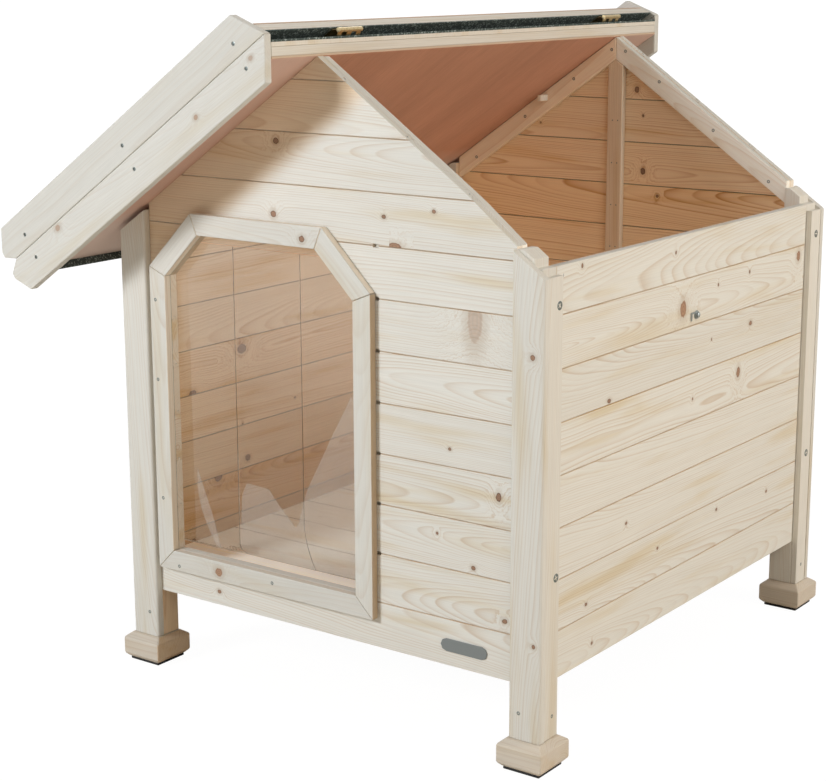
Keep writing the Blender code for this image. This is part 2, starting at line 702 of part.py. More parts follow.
def stand_on_origin(root):
    """Moves the kennel so that the origin is under the middle of its box, on the ground."""
    bpy.context.view_layer.update()
    graph = bpy.context.evaluated_depsgraph_get()
    corners = []
    for piece in bpy.data.objects:
        if piece.type == "MESH":
            mesh = piece.evaluated_get(graph).data
            corners += [piece.matrix_world @ vertex.co for vertex in mesh.vertices]
    lows = [min(corner[i] for corner in corners) for i in range(3)]
    highs = [max(corner[i] for corner in corners) for i in range(3)]
    root.location = (-(lows[0] + highs[0]) / 2, -(lows[1] + highs[1]) / 2, -lows[2])


def main():
    for old in list(bpy.data.objects):
        bpy.data.objects.remove(old)
    root = new_frame("kennel", None, (0, 0, 0), (0, 0, 0))
    ridge = (0, 0, RIDGE_HEIGHT)
    roof_left = new_frame("roof_left", root, ridge, (0, SLOPE, math.pi))
    roof_right = new_frame("roof_right_axis", root, ridge, (0, -math.pi - SLOPE, 0))
    make_feet(root)
    make_legs(root)
    make_walls(root)
    make_gable_frames(root)
    make_floor(root)
    make_trim(root)
    make_curtain(root)
    make_roof_half("left", roof_left)
    make_roof_half("right", roof_right)
    make_hook(root)
    make_plate(root)
    stand_on_origin(root)


main()
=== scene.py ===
"""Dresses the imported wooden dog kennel: single boards with grain and knots, clear curtain and fittings.

Metres, +Z up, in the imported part's frame. "Kennel places" below are measured from the middle of the front
wall's outer face: x to the right, y into the kennel, z from the ground. place() turns them into that frame.
"""

import functools
import math
import random

import bmesh
import bpy
from mathutils import Euler, Matrix, Vector


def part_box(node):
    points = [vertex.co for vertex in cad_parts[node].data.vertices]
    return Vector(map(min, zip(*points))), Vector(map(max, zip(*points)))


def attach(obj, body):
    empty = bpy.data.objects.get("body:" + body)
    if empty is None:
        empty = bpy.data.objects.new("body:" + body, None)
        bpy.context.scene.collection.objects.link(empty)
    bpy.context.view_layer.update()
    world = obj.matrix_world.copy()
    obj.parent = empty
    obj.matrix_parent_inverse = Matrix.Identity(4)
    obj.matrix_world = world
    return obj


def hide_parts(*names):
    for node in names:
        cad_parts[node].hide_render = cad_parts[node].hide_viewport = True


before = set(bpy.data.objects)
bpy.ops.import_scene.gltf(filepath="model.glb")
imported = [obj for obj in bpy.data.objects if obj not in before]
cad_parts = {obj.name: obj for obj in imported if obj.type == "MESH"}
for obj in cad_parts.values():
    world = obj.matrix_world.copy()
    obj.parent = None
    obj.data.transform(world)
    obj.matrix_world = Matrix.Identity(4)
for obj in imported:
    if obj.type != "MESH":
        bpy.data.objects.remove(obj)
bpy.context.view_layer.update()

bl_info = {
    "name": "Wooden dog kennel",
    "version": (1, 0, 0),
    "blender": (4, 5, 0),
    "location": "3D View > Sidebar > Kennel",
    "description": "Finishes a packed dog kennel in planed spruce, felt, clear strips and small fittings",
    "category": "Object",
}

X, Y, Z = Vector((1, 0, 0)), Vector((0, 1, 0)), Vector((0, 0, 1))
MM = 0.001

# Places taken from the frame
FRONT_LOW, FRONT_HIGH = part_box("front_wall")
FRONT = FRONT_LOW.y
MIDDLE = (FRONT_LOW.x + FRONT_HIGH.x) / 2
WALL_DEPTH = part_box("rear_wall")[1].y - FRONT
WALL_BOTTOM = FRONT_LOW.z
GABLE_APEX = FRONT_HIGH.z
GABLE_HALF = (FRONT_HIGH.x - FRONT_LOW.x) / 2
SIDE_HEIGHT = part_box("left_wall")[1].z - WALL_BOTTOM
BOARD_THICKNESS = FRONT_HIGH.y - FRONT_LOW.y

# The roof's slope, down it and out of it
SLOPE = math.radians(34.5)
LEFT_DOWN = Vector((-math.cos(SLOPE), 0, -math.sin(SLOPE)))
RIGHT_DOWN = Vector((math.cos(SLOPE), 0, -math.sin(SLOPE)))
OUT_LEFT = Vector((-math.sin(SLOPE), 0, math.cos(SLOPE)))
OUT_RIGHT = Vector((math.sin(SLOPE), 0, math.cos(SLOPE)))

# The front gable's right slope falls a little faster from this point on: its place and the way out of it
KINK = (Vector((MIDDLE + 0.243, FRONT, 0.744)), Vector((0.617, 0, 0.787)))

# The kennel's ends and sides with the way out of each, and the roof halves with their bodies
ENDS = (("front", -Y), ("rear", Y))
SIDES = (("left", -X), ("right", X))
ROOF_HALVES = (("left", "kennel"), ("right", "roof_flap"))

# How far a cutting tool reaches past what it cuts, the height of the walls' lowest board, the distance at
# which two points are one, and how far the painted shade under the left roof half reaches down the front
# gable
CUT_OVERRUN = 0.01
BOTTOM_BOARD = 0.065
MERGE = 0.00001
PAINTED_SHADE_DEPTH = 0.100

# How far the edges of each kind of piece are rounded
ROUNDING = {
    "post": 0.0008, "board": 0.0006, "framing": 0.0004, "foot": 0.0005, "block": 0.0005, "bargeboard": 0.0016,
    "plywood": 0.0003, "felt": 0.0005, "pad": 0.0012, "curtain": 0.0004, "hinge": 0.0003, "fitting": 0.0004,
    "staple": 0.0002,
}


def linear(hex_colour):
    """A written sRGB colour as linear values."""
    values = [int(hex_colour[i:i + 2], 16) / 255 for i in (0, 2, 4)]
    return [v / 12.92 if v <= 0.04045 else ((v + 0.055) / 1.055) ** 2.4 for v in values]


def colour_property(name, hex_colour, description):
    return bpy.props.FloatVectorProperty(name=name, description=description, default=linear(hex_colour),
                                         subtype="COLOR", min=0, max=1)


def size_property(name, size, description):
    return bpy.props.FloatProperty(name=name, description=description, default=size, unit="LENGTH",
                                   precision=5)


class KennelSizes(bpy.types.PropertyGroup):
    """Sizes that a maker would change."""
    board_pitch: size_property("Board pitch", 0.070, "Cover width of a wall board")
    floor_pitch: size_property("Floor board pitch", 0.090, "Cover width of a floor board")
    joint_gap: size_property("Joint gap", 0.0004, "Gap between two tongued boards")
    outer_chamfer: size_property("Outer chamfer", 0.0008, "Chamfer of a wall board's outer edges")
    inner_chamfer: size_property("Inner chamfer", 0.0006, "Chamfer of a wall board's inner edges")
    ring_spacing: size_property("Ring spacing", 0.0026, "Distance between growth rings")
    bolt_head: size_property("Bolt head", 0.0130, "Width of a countersunk bolt head")
    screw_head: size_property("Screw head", 0.0056, "Width of a countersunk screw head")
    nail_head: size_property("Nail head", 0.0022, "Width of a wire nail's head")


class KennelColours(bpy.types.PropertyGroup):
    """Colours that a maker would change."""
    spruce: colour_property("Spruce", "DFDDD5", "Pale early wood")
    late_wood: colour_property("Late wood", "B99870", "Darker part of a growth ring")
    sap_streak: colour_property("Sap streak", "EEDBB4", "Yellowish streaks")
    knot: colour_property("Knot", "A98469", "Wood of a sound knot")
    knot_rim: colour_property("Knot rim", "5E4130", "Dark rim of a knot")
    # Painted light and shade: the inside tint warms the inner faces, and the faces that the tones warm, as
    # bounced light and shade would
    inside: colour_property("Inside tint", "FFD8A8", "Warm tone of the unsanded inner faces")
    plywood: colour_property("Plywood", "CD9B82", "Reddish plywood")
    plywood_edge: colour_property("Plywood edge", "C9B9A2", "Pale edges of the plywood")
    # Painted light: the pale colour painted on the left underside where the light reaches it past the walls
    painted_pale_light: colour_property("Painted light on plywood", "E0D0C8", "Plywood in the light past the walls")
    felt: colour_property("Felt", "3E4B48", "Mineral roofing felt")
    # Partly a painted highlight: the pale grains stand in for glints as well as grit, and the felt is a
    # little paler for them
    grit_and_painted_glints: colour_property("Felt grit", "A4B0AC", "Pale grains in the felt")
    brass: colour_property("Brass", "E2CB9C", "Hinges")
    zinc: colour_property("Zinc", "A9B0B0", "Side hook")
    screws: colour_property("Screws", "7F8886", "Dull heads of screws, bolts and nails")
    rubber: colour_property("Rubber", "1B1A1A", "Pads under the feet")
    plate: colour_property("Plate", "7A8080", "Bare oval plate")
    clear: colour_property("Clear strip", "F4F6F6", "Clear curtain strips")
    # Painted reflection: the milky colour painted where the bent strips reflect the light
    painted_reflection: colour_property("Painted reflection", "D4CFC9", "Milky haze in the strips")


def sizes():
    return bpy.context.scene.kennel_sizes


def colours():
    return bpy.context.scene.kennel_colours


def place(x, y, z):
    """A kennel place in the part's frame."""
    return Vector((x + MIDDLE, y + FRONT, z))


def roof_line(x):
    """Height of the gable's slope at a kennel place across."""
    return GABLE_APEX - abs(x) * math.tan(SLOPE)


# Materials


def new_material(name):
    """A material without nodes, and the function that adds nodes to it."""
    material = bpy.data.materials.new(name)
    material.use_nodes = True
    material.node_tree.nodes.clear()
    return material, functools.partial(add_node, material.node_tree)


def add_node(tree, kind, inputs=None, **settings):
    """Adds a node with its settings. An input's value is a number or colour, a node or one of its outputs."""
    node = tree.nodes.new(kind)
    for name, value in settings.items():
        setattr(node, name, value)
    for key, value in (inputs or {}).items():
        socket = node.inputs[key] if isinstance(key, int) else next(
            s for s in node.inputs if s.enabled and s.name == key)
        if isinstance(value, bpy.types.Node):
            value = next(s for s in value.outputs if s.enabled)
        if isinstance(value, bpy.types.NodeSocket):
            tree.links.new(value, socket)
        else:
            socket.default_value = value
    return node


def rgba(colour):
    return (*colour, 1)


def planed_spruce():
    """Norway spruce, planed and left bare: pale, fine rings, a few knots, nearly matt."""
    material, add = new_material("planed spruce")
    spruce = colours()
    grain = add("ShaderNodeAttribute", attribute_name="grain").outputs["Vector"]
    marks = [add("ShaderNodeAttribute", attribute_name=name).outputs["Vector"]
             for name in ("board", "knot", "knot_form", "tone")]
    board, knot, form, tone = [add("ShaderNodeSeparateXYZ", {0: mark}).outputs for mark in marks]
    seed = board["Z"]
    shift = add("ShaderNodeVectorMath", {0: (31.7, 17.3, 9.1), "Scale": seed}, operation="SCALE")
    moved = add("ShaderNodeVectorMath", {0: grain, 1: shift}, operation="ADD")

    # Rings lie round the pith, which wanders 20 mm over half a metre and leans
    slow = add("ShaderNodeVectorMath", {0: moved, 1: (2.2, 9, 9)}, operation="MULTIPLY")
    wander = add("ShaderNodeTexNoise", {"Vector": slow, "Scale": 1.0}).outputs["Color"]
    centred = add("ShaderNodeVectorMath", {0: wander, 1: (0.5, 0.5, 0.5)}, operation="SUBTRACT")
    wandered = add("ShaderNodeVectorMath", {0: centred, 1: (0, 0.020, 0.020), 2: grain},
                   operation="MULTIPLY_ADD")
    axes = add("ShaderNodeSeparateXYZ", {0: wandered}).outputs
    turn = add("ShaderNodeMath", {0: seed, 1: 17.0}, operation="MULTIPLY")
    lean = add("ShaderNodeMath", {0: turn}, operation="SINE")
    lean_along = add("ShaderNodeMath", {0: lean, 1: axes["X"]}, operation="MULTIPLY")
    across = add("ShaderNodeMath", {0: axes["Y"], 1: board["X"]}, operation="SUBTRACT")
    depth = add("ShaderNodeMath", {0: axes["Z"], 1: board["Y"]}, operation="SUBTRACT")
    leaned = add("ShaderNodeMath", {0: lean_along, 1: 0.055, 2: depth}, operation="MULTIPLY_ADD")
    pith = add("ShaderNodeCombineXYZ", {"Y": across, "Z": leaned})
    radius = add("ShaderNodeVectorMath", {0: pith}, operation="LENGTH")

    # A knot pushes the rings outwards round it
    here = add("ShaderNodeSeparateXYZ", {0: grain}).outputs
    shares = {}
    for axis in ("X", "Y"):
        away = add("ShaderNodeMath", {0: here[axis], 1: knot[axis]}, operation="SUBTRACT")
        shares[axis] = add("ShaderNodeMath", {0: away, 1: form[axis]}, operation="DIVIDE")
    from_knot = add("ShaderNodeVectorMath", {0: add("ShaderNodeCombineXYZ", shares)}, operation="LENGTH")
    knot_radius = add("ShaderNodeMath", {0: knot["Z"], 1: 0.0001}, operation="MAXIMUM")
    even = add("ShaderNodeMath", {0: from_knot, 1: knot_radius}, operation="DIVIDE")
    ragged = add("ShaderNodeTexNoise", {"Vector": moved, "Scale": 220.0, "Detail": 1.0})
    reach = add("ShaderNodeMath", {0: ragged, 1: 0.5, 2: 0.75}, operation="MULTIPLY_ADD")
    relative = add("ShaderNodeMath", {0: even, 1: reach}, operation="MULTIPLY")
    square = add("ShaderNodeMath", {0: relative, 1: 2.0}, operation="POWER")
    falling = add("ShaderNodeMath", {0: square, 1: -0.10}, operation="MULTIPLY")
    bulge = add("ShaderNodeMath", {0: falling}, operation="EXPONENT")
    pushed = add("ShaderNodeMath", {0: bulge, 1: knot["Z"]}, operation="MULTIPLY")
    ringed = add("ShaderNodeMath", {0: pushed, 1: 2.6, 2: radius}, operation="MULTIPLY_ADD")

    # Wide and narrow years, each with its own strength
    own_start = add("ShaderNodeMath", {0: ringed, 1: seed}, operation="ADD")
    years = add("ShaderNodeTexNoise", {"W": own_start, "Scale": 55.0, "Detail": 1.0}, noise_dimensions="1D")
    even_years = add("ShaderNodeMath", {0: ringed, 1: sizes().ring_spacing}, operation="DIVIDE")
    phase = add("ShaderNodeMath", {0: years, 1: 3.0, 2: even_years}, operation="MULTIPLY_ADD")
    within = add("ShaderNodeMath", {0: phase}, operation="FRACT")
    rise = add("ShaderNodeMath", {0: within, 1: 3.0}, operation="POWER")
    drop = add("ShaderNodeMapRange", {"Value": within, "From Min": 0.90, "To Min": 1.0, "To Max": 0.0})
    late = add("ShaderNodeMath", {0: rise, 1: drop}, operation="MULTIPLY")
    year = add("ShaderNodeMath", {0: phase}, operation="FLOOR")
    strength = add("ShaderNodeTexWhiteNoise", {"W": year}, noise_dimensions="1D").outputs["Value"]
    varied = add("ShaderNodeMath", {0: strength, 1: 0.95, 2: 0.25}, operation="MULTIPLY_ADD")
    rings = add("ShaderNodeMath", {0: late, 1: varied}, operation="MULTIPLY")

    # Fibres a millimetre wide along the board, and slow yellowish streaks of 30 mm
    fine = add("ShaderNodeVectorMath", {0: moved, 1: (14, 900, 900)}, operation="MULTIPLY")
    fibres = add("ShaderNodeTexNoise", {"Vector": fine, "Scale": 1.0})
    streaky = add("ShaderNodeVectorMath", {0: moved, 1: (3.2, 34, 34)}, operation="MULTIPLY")
    streaks = add("ShaderNodeTexNoise", {"Vector": streaky, "Scale": 1.0, "Detail": 3.0})
    streak = add("ShaderNodeMapRange", {"Value": streaks, "From Min": 0.5, "From Max": 0.76, "To Max": 0.65},
                 interpolation_type="SMOOTHSTEP")
    ring_share = add("ShaderNodeMath", {0: rings, 1: tone["Z"]}, operation="MULTIPLY", use_clamp=True)
    ring_colour = add("ShaderNodeMix", {"Factor": ring_share, "A": rgba(spruce.spruce),
                                        "B": rgba(spruce.late_wood)}, data_type="RGBA")
    own_streak = add("ShaderNodeMath", {0: streak, 1: tone["Z"]}, operation="MULTIPLY")
    streak_share = add("ShaderNodeMath", {0: own_streak, 1: 1.6}, operation="MULTIPLY", use_clamp=True)
    streaked = add("ShaderNodeMix", {"Factor": streak_share, "A": ring_colour, "B": rgba(spruce.sap_streak)},
                   data_type="RGBA", blend_type="MULTIPLY")
    fibre_shade = add("ShaderNodeMapRange", {"Value": fibres, "From Min": 0.25, "From Max": 0.75,
                                             "To Min": 0.93, "To Max": 1.03})
    toned = add("ShaderNodeMath", {0: fibre_shade, 1: tone["Y"]}, operation="MULTIPLY")
    shaded = add("ShaderNodeVectorMath", {0: streaked, "Scale": toned}, operation="SCALE")

    # Painted shade: close under the fixed roof half the front gable's outer face is painted warmer, where the
    # roof's shadow falls. Most of the tone's warmth, too, is painted bounce light and shade
    where = add("ShaderNodeTexCoord").outputs["Object"]
    below = add("ShaderNodeVectorMath", {0: where, 1: tuple(OUT_LEFT)}, operation="DOT_PRODUCT")
    slope = place(0, 0, GABLE_APEX).dot(OUT_LEFT)
    near = add("ShaderNodeMapRange", {"Value": below, "From Min": slope - PAINTED_SHADE_DEPTH,
                                      "From Max": slope - PAINTED_SHADE_DEPTH * 0.65, "To Max": 0.6},
               interpolation_type="SMOOTHSTEP")
    painted_light_faces = add("ShaderNodeAttribute", attribute_name="painted_light_faces").outputs["Fac"]
    warmth = add("ShaderNodeMath", {0: near, 1: painted_light_faces, 2: tone["X"]}, operation="MULTIPLY_ADD",
                 use_clamp=True)
    warmed = add("ShaderNodeMix", {"Factor": warmth, "A": shaded, "B": rgba(spruce.inside)}, data_type="RGBA",
                 blend_type="MULTIPLY")

    # The knot itself, with a warm halo and a dark rim. Where its darkness is negative the wood shows through
    halo_reach = add("ShaderNodeMapRange", {"Value": relative, "From Min": 1.0, "From Max": 2.6,
                                            "To Min": 0.28, "To Max": 0.0}, interpolation_type="SMOOTHSTEP")
    halo = add("ShaderNodeMix", {"Factor": halo_reach, "A": warmed, "B": rgba(spruce.late_wood)},
               data_type="RGBA", blend_type="MULTIPLY")
    solid = add("ShaderNodeMath", {0: form["Z"], 1: 1.0}, operation="ADD", use_clamp=True)
    inside = add("ShaderNodeMapRange", {"Value": relative, "From Min": 0.9, "From Max": 1.1, "To Min": solid,
                                        "To Max": 0.0}, interpolation_type="SMOOTHSTEP")
    turns = add("ShaderNodeMath", {0: relative, 1: 14.0}, operation="MULTIPLY")
    turned = add("ShaderNodeMath", {0: turns}, operation="SINE")
    knot_rings = add("ShaderNodeMapRange", {"Value": turned, "From Min": -1.0, "To Min": 0.8, "To Max": 1.1})
    knot_wood = add("ShaderNodeVectorMath", {0: tuple(spruce.knot), "Scale": knot_rings}, operation="SCALE")
    rim_far = add("ShaderNodeMath", {0: relative, 1: 0.94}, operation="SUBTRACT")
    rim_gap = add("ShaderNodeMath", {0: rim_far}, operation="ABSOLUTE")
    rim = add("ShaderNodeMapRange", {"Value": rim_gap, "From Min": 0.03, "From Max": 0.22, "To Min": 1.0,
                                     "To Max": 0.0})
    dark = add("ShaderNodeMath", {0: rim, 1: form["Z"]}, operation="MULTIPLY", use_clamp=True)
    heart = add("ShaderNodeMath", {0: form["Z"], 1: 0.45, 2: dark}, operation="MULTIPLY_ADD", use_clamp=True)
    knot_colour = add("ShaderNodeMix", {"Factor": heart, "A": knot_wood, "B": rgba(spruce.knot_rim)},
                      data_type="RGBA")
    surface = add("ShaderNodeMix", {"Factor": inside, "A": halo, "B": knot_colour}, data_type="RGBA")

    height = add("ShaderNodeMath", {0: fibres, 1: 0.5, 2: rings}, operation="MULTIPLY_ADD")
    bump = add("ShaderNodeBump", {"Height": height, "Strength": 0.15, "Distance": 0.0002})
    roughness = add("ShaderNodeMapRange", {"Value": rings, "To Min": 0.66, "To Max": 0.54})
    shader = add("ShaderNodeBsdfPrincipled", {"Base Color": surface, "Roughness": roughness, "Normal": bump})
    add("ShaderNodeOutputMaterial", {"Surface": shader})
    return material


def okoume_plywood():
    """Three-ply okoume, peeled and sanded: reddish brown, short pores, layers at its edges."""
    material, add = new_material("okoume plywood")
    paint = colours()
    grain = add("ShaderNodeAttribute", attribute_name="grain").outputs["Vector"]
    # Pores 1.6 mm wide and 40 mm long, and slow bands of 90 mm
    long_pores = add("ShaderNodeVectorMath", {0: grain, 1: (26, 620, 620)}, operation="MULTIPLY")
    pores = add("ShaderNodeTexNoise", {"Vector": long_pores, "Scale": 1.0})
    slow = add("ShaderNodeVectorMath", {0: grain, 1: (1.4, 11, 11)}, operation="MULTIPLY")
    figure = add("ShaderNodeTexNoise", {"Vector": slow, "Scale": 1.0, "Detail": 3.0, "Distortion": 0.6})
    shades = [add("ShaderNodeMapRange", {"Value": pattern, "From Min": 0.3, "From Max": 0.7,
                                         "To Min": darkest, "To Max": palest})
              for pattern, darkest, palest in ((pores, 0.93, 1.06), (figure, 0.90, 1.10))]
    both = add("ShaderNodeMath", {0: shades[0], 1: shades[1]}, operation="MULTIPLY")
    faced = add("ShaderNodeVectorMath", {0: tuple(paint.plywood), "Scale": both}, operation="SCALE")
    # The first part of the tone is 1 on the sheet's pale edges
    tone = add("ShaderNodeAttribute", attribute_name="tone").outputs["Vector"]
    edge = add("ShaderNodeSeparateXYZ", {0: tone}).outputs["X"]
    layers = add("ShaderNodeMix", {"Factor": edge, "A": faced, "B": rgba(paint.plywood_edge)},
                 data_type="RGBA")
    # Painted light: the left underside is painted paler where it stands past the side walls, and a little
    # paler past the gables
    where = add("ShaderNodeTexCoord").outputs["Object"]
    middle = (MIDDLE, FRONT + WALL_DEPTH / 2, 0)
    from_middle = add("ShaderNodeVectorMath", {0: where, 1: middle}, operation="SUBTRACT")
    reach = add("ShaderNodeVectorMath", {0: from_middle}, operation="ABSOLUTE")
    reach = add("ShaderNodeSeparateXYZ", {0: reach}).outputs
    past = [add("ShaderNodeMapRange", {"Value": reach[axis], "From Min": start, "From Max": end,
                                       "To Max": share})
            for axis, start, end, share in (("X", GABLE_HALF - 0.03, GABLE_HALF + 0.05, 0.8),
                                            ("Y", WALL_DEPTH / 2 - 0.01, WALL_DEPTH / 2 + 0.01, 0.4))]
    either = add("ShaderNodeMath", {0: past[0], 1: past[1]}, operation="MAXIMUM")
    painted_light_faces = add("ShaderNodeAttribute", attribute_name="painted_light_faces").outputs["Fac"]
    painted_pale_light = add("ShaderNodeMath", {0: either, 1: painted_light_faces}, operation="MULTIPLY")
    colour = add("ShaderNodeMix", {"Factor": painted_pale_light, "A": layers, "B": rgba(paint.painted_pale_light)},
                 data_type="RGBA")
    bump = add("ShaderNodeBump", {"Height": pores, "Strength": 0.2, "Distance": 0.0001})
    shader = add("ShaderNodeBsdfPrincipled", {"Base Color": colour, "Roughness": 0.7, "Normal": bump,
                                              "Specular IOR Level": 0.1})
    add("ShaderNodeOutputMaterial", {"Surface": shader})
    return material


def mineral_felt():
    """Bitumen felt pressed full of slate grains: nearly black green, rough, its pale grains partly a painted
    highlight.
    """
    material, add = new_material("mineral felt")
    felt = colours()
    where = add("ShaderNodeTexCoord").outputs["Object"]
    # Grains are 1 mm, drawn at twice their size so that they show
    grains = add("ShaderNodeTexVoronoi", {"Vector": where, "Scale": 480.0}).outputs
    pick = add("ShaderNodeSeparateColor", {0: grains["Color"]}).outputs["Red"]
    pale = add("ShaderNodeMapRange", {"Value": pick, "From Min": 0.72, "To Max": 0.95})
    colour = add("ShaderNodeMix", {"Factor": pale, "A": rgba(felt.felt), "B": rgba(felt.grit_and_painted_glints)},
                 data_type="RGBA")
    bump = add("ShaderNodeBump", {"Height": grains["Distance"], "Strength": 0.7, "Distance": 0.0006})
    shader = add("ShaderNodeBsdfPrincipled", {"Base Color": colour, "Roughness": 0.8, "Normal": bump})
    add("ShaderNodeOutputMaterial", {"Surface": shader})
    return material


# Below this line the bent sheet is painted milky, a painted reflection. Its points are shares of the
# curtain's width and of CLOUD_HEIGHT
CLOUD_HEIGHT = 0.36
CLOUD_LINE = ((0, 0), (0.325, 0), (0.335, 0.05), (0.35, 0.27), (0.376, 0.325), (0.49, 0.32),
              (0.525, 0.28), (0.624, 0.185), (0.64, 0.21), (0.665, 0.30), (0.69, 0.36), (0.803, 0.57),
              (0.898, 0.74), (1, 0.9))

# A narrow crescent of painted reflection on the left strip, which leans to the right as it goes down: the
# heights of its ends over the strip's foot, its top's distance from the curtain's left edge, how far it
# leans, and half its width
CRESCENT_TOP, CRESCENT_FOOT = 0.127, -0.007
CRESCENT_START, CRESCENT_LEAN, CRESCENT_HALF = 0.042, 0.047, 0.010

# Share of painted reflection in the cloud and crescent, and of milkiness at the top of the sheet from a
# height up
PAINTED_REFLECTION_SHARE, DULL_TOP, DULL_FROM = 0.13, 0.14, 0.22
# Width over which the edges of the cloud and crescent fade
EDGE_FADE = 0.001


def clear_pvc():
    """Extruded soft PVC sheet: clear and glossy, with a painted reflection where it is bent. Lamps shine
    through it.
    """
    material, add = new_material("clear pvc sheet")
    clear = rgba(colours().clear)
    where = add("ShaderNodeSeparateXYZ", {0: add("ShaderNodeTexCoord").outputs["Object"]}).outputs
    low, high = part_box("curtain_band")
    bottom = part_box("curtain_strip_left")[0].z
    across = add("ShaderNodeMapRange", {"Value": where["X"], "From Min": low.x, "From Max": high.x})
    line = add("ShaderNodeFloatCurve", {"Value": across})
    curve = line.mapping.curves[0]
    curve.points[0].location = CLOUD_LINE[0]
    curve.points[1].location = CLOUD_LINE[-1]
    for share in CLOUD_LINE[1:-1]:
        curve.points.new(*share)
    for point in curve.points:
        point.handle_type = "VECTOR"
    line.mapping.update()
    cloud_top = add("ShaderNodeMapRange", {"Value": line, "To Min": bottom, "To Max": bottom + CLOUD_HEIGHT})
    below = add("ShaderNodeMath", {0: cloud_top, 1: where["Z"]}, operation="SUBTRACT")
    cloud = add("ShaderNodeMapRange", {"Value": below, "From Min": -EDGE_FADE, "From Max": EDGE_FADE})
    drop = add("ShaderNodeMapRange", {"Value": where["Z"], "From Min": bottom + CRESCENT_TOP,
                                      "From Max": bottom + CRESCENT_FOOT})
    bent = add("ShaderNodeMath", {0: drop, 1: 1.5}, operation="POWER")
    middle = add("ShaderNodeMath", {0: bent, 1: CRESCENT_LEAN, 2: low.x + CRESCENT_START},
                 operation="MULTIPLY_ADD")
    from_middle = add("ShaderNodeMath", {0: where["X"], 1: middle}, operation="SUBTRACT")
    off_middle = add("ShaderNodeMath", {0: from_middle}, operation="ABSOLUTE")
    turn = add("ShaderNodeMath", {0: drop, 1: math.pi}, operation="MULTIPLY")
    swell = add("ShaderNodeMath", {0: turn}, operation="SINE")
    half_width = add("ShaderNodeMath", {0: swell, 1: CRESCENT_HALF}, operation="MULTIPLY")
    within = add("ShaderNodeMath", {0: half_width, 1: off_middle}, operation="SUBTRACT")
    crescent = add("ShaderNodeMapRange", {"Value": within, "From Max": EDGE_FADE})
    either = add("ShaderNodeMath", {0: cloud, 1: crescent}, operation="MAXIMUM")
    dull = add("ShaderNodeMapRange", {"Value": where["Z"], "From Min": bottom + DULL_FROM, "From Max": high.z,
                                      "To Max": DULL_TOP})
    # Painted reflection: the milky surface is mixed in by this share
    painted_reflection = add("ShaderNodeMath", {0: either, 1: PAINTED_REFLECTION_SHARE, 2: dull}, operation="MULTIPLY_ADD")
    glossy = add("ShaderNodeBsdfPrincipled", {"Base Color": clear, "Roughness": 0.03, "IOR": 1.53,
                                              "Transmission Weight": 1.0, "Specular IOR Level": 0.08})
    open_to_lamps = add("ShaderNodeBsdfTransparent", {"Color": clear})
    path = add("ShaderNodeLightPath").outputs
    lit = add("ShaderNodeMath", {0: path["Is Shadow Ray"], 1: path["Is Diffuse Ray"]}, operation="MAXIMUM")
    sheet = add("ShaderNodeMixShader", {0: lit, 1: glossy, 2: open_to_lamps})
    milky = add("ShaderNodeBsdfPrincipled", {"Base Color": rgba(colours().painted_reflection), "Roughness": 0.25})
    both = add("ShaderNodeMixShader", {0: painted_reflection, 1: sheet, 2: milky})
    add("ShaderNodeOutputMaterial", {"Surface": both})
    return material


def metal(name, colour, roughness):
    """Plated sheet or wire: smooth metal with fine rub marks along it, a millimetre wide."""
    material, add = new_material(name)
    rubbed = 0.08
    where = add("ShaderNodeTexCoord").outputs["Object"]
    stretched = add("ShaderNodeVectorMath", {0: where, 1: (900, 160, 900)}, operation="MULTIPLY")
    marks = add("ShaderNodeTexNoise", {"Vector": stretched, "Scale": 1.0})
    rough = add("ShaderNodeMapRange", {"Value": marks, "To Min": roughness - rubbed,
                                       "To Max": roughness + rubbed})
    shade = add("ShaderNodeMapRange", {"Value": marks, "To Min": 0.85, "To Max": 1.08})
    tinted = add("ShaderNodeVectorMath", {0: tuple(colour), "Scale": shade}, operation="SCALE")
    shader = add("ShaderNodeBsdfPrincipled", {"Base Color": tinted, "Metallic": 1.0, "Roughness": rough})
    add("ShaderNodeOutputMaterial", {"Surface": shader})
    return material


def moulded(name, colour, roughness, grit):
    """Moulded or painted surface: one colour with a fine orange peel."""
    material, add = new_material(name)
    where = add("ShaderNodeTexCoord").outputs["Object"]
    peel = add("ShaderNodeTexNoise", {"Vector": where, "Scale": 1 / grit})
    shade = add("ShaderNodeMapRange", {"Value": peel, "To Min": 0.9, "To Max": 1.1})
    tinted = add("ShaderNodeVectorMath", {0: tuple(colour), "Scale": shade}, operation="SCALE")
    bump = add("ShaderNodeBump", {"Height": peel, "Strength": 0.3, "Distance": grit / 4})
    shader = add("ShaderNodeBsdfPrincipled", {"Base Color": tinted, "Roughness": roughness, "Normal": bump})
    add("ShaderNodeOutputMaterial", {"Surface": shader})
    return material


MATERIALS = {}


def finish_of(name):
    """Each material is made once, the first time that a piece asks for it."""
    paint = colours()
    makers = {
        "spruce": planed_spruce,
        "plywood": okoume_plywood,
        "roofing_felt": mineral_felt,
        "clear_pvc": clear_pvc,
        "brass": lambda: metal("brassed steel", paint.brass, 0.30),
        "zinc": lambda: metal("zinc plated steel", paint.zinc, 0.45),
        "screws": lambda: metal("dull zinc plated screws", paint.screws, 0.42),
        "rubber": lambda: moulded("moulded rubber", paint.rubber, 0.75, 0.0006),
        "grey_plate": lambda: moulded("satin grey plate", paint.plate, 0.42, 0.0004),
    }
    if name not in MATERIALS:
        MATERIALS[name] = makers[name]()
    return MATERIALS[name]


# Meshes


def to_mesh(shape, mesh):
    """Writes a bmesh to a mesh, or to a new one of a name, and lets go of it."""
    if isinstance(mesh, str):
        mesh = bpy.data.meshes.new(mesh)
    shape.to_mesh(mesh)
    shape.free()
    return mesh


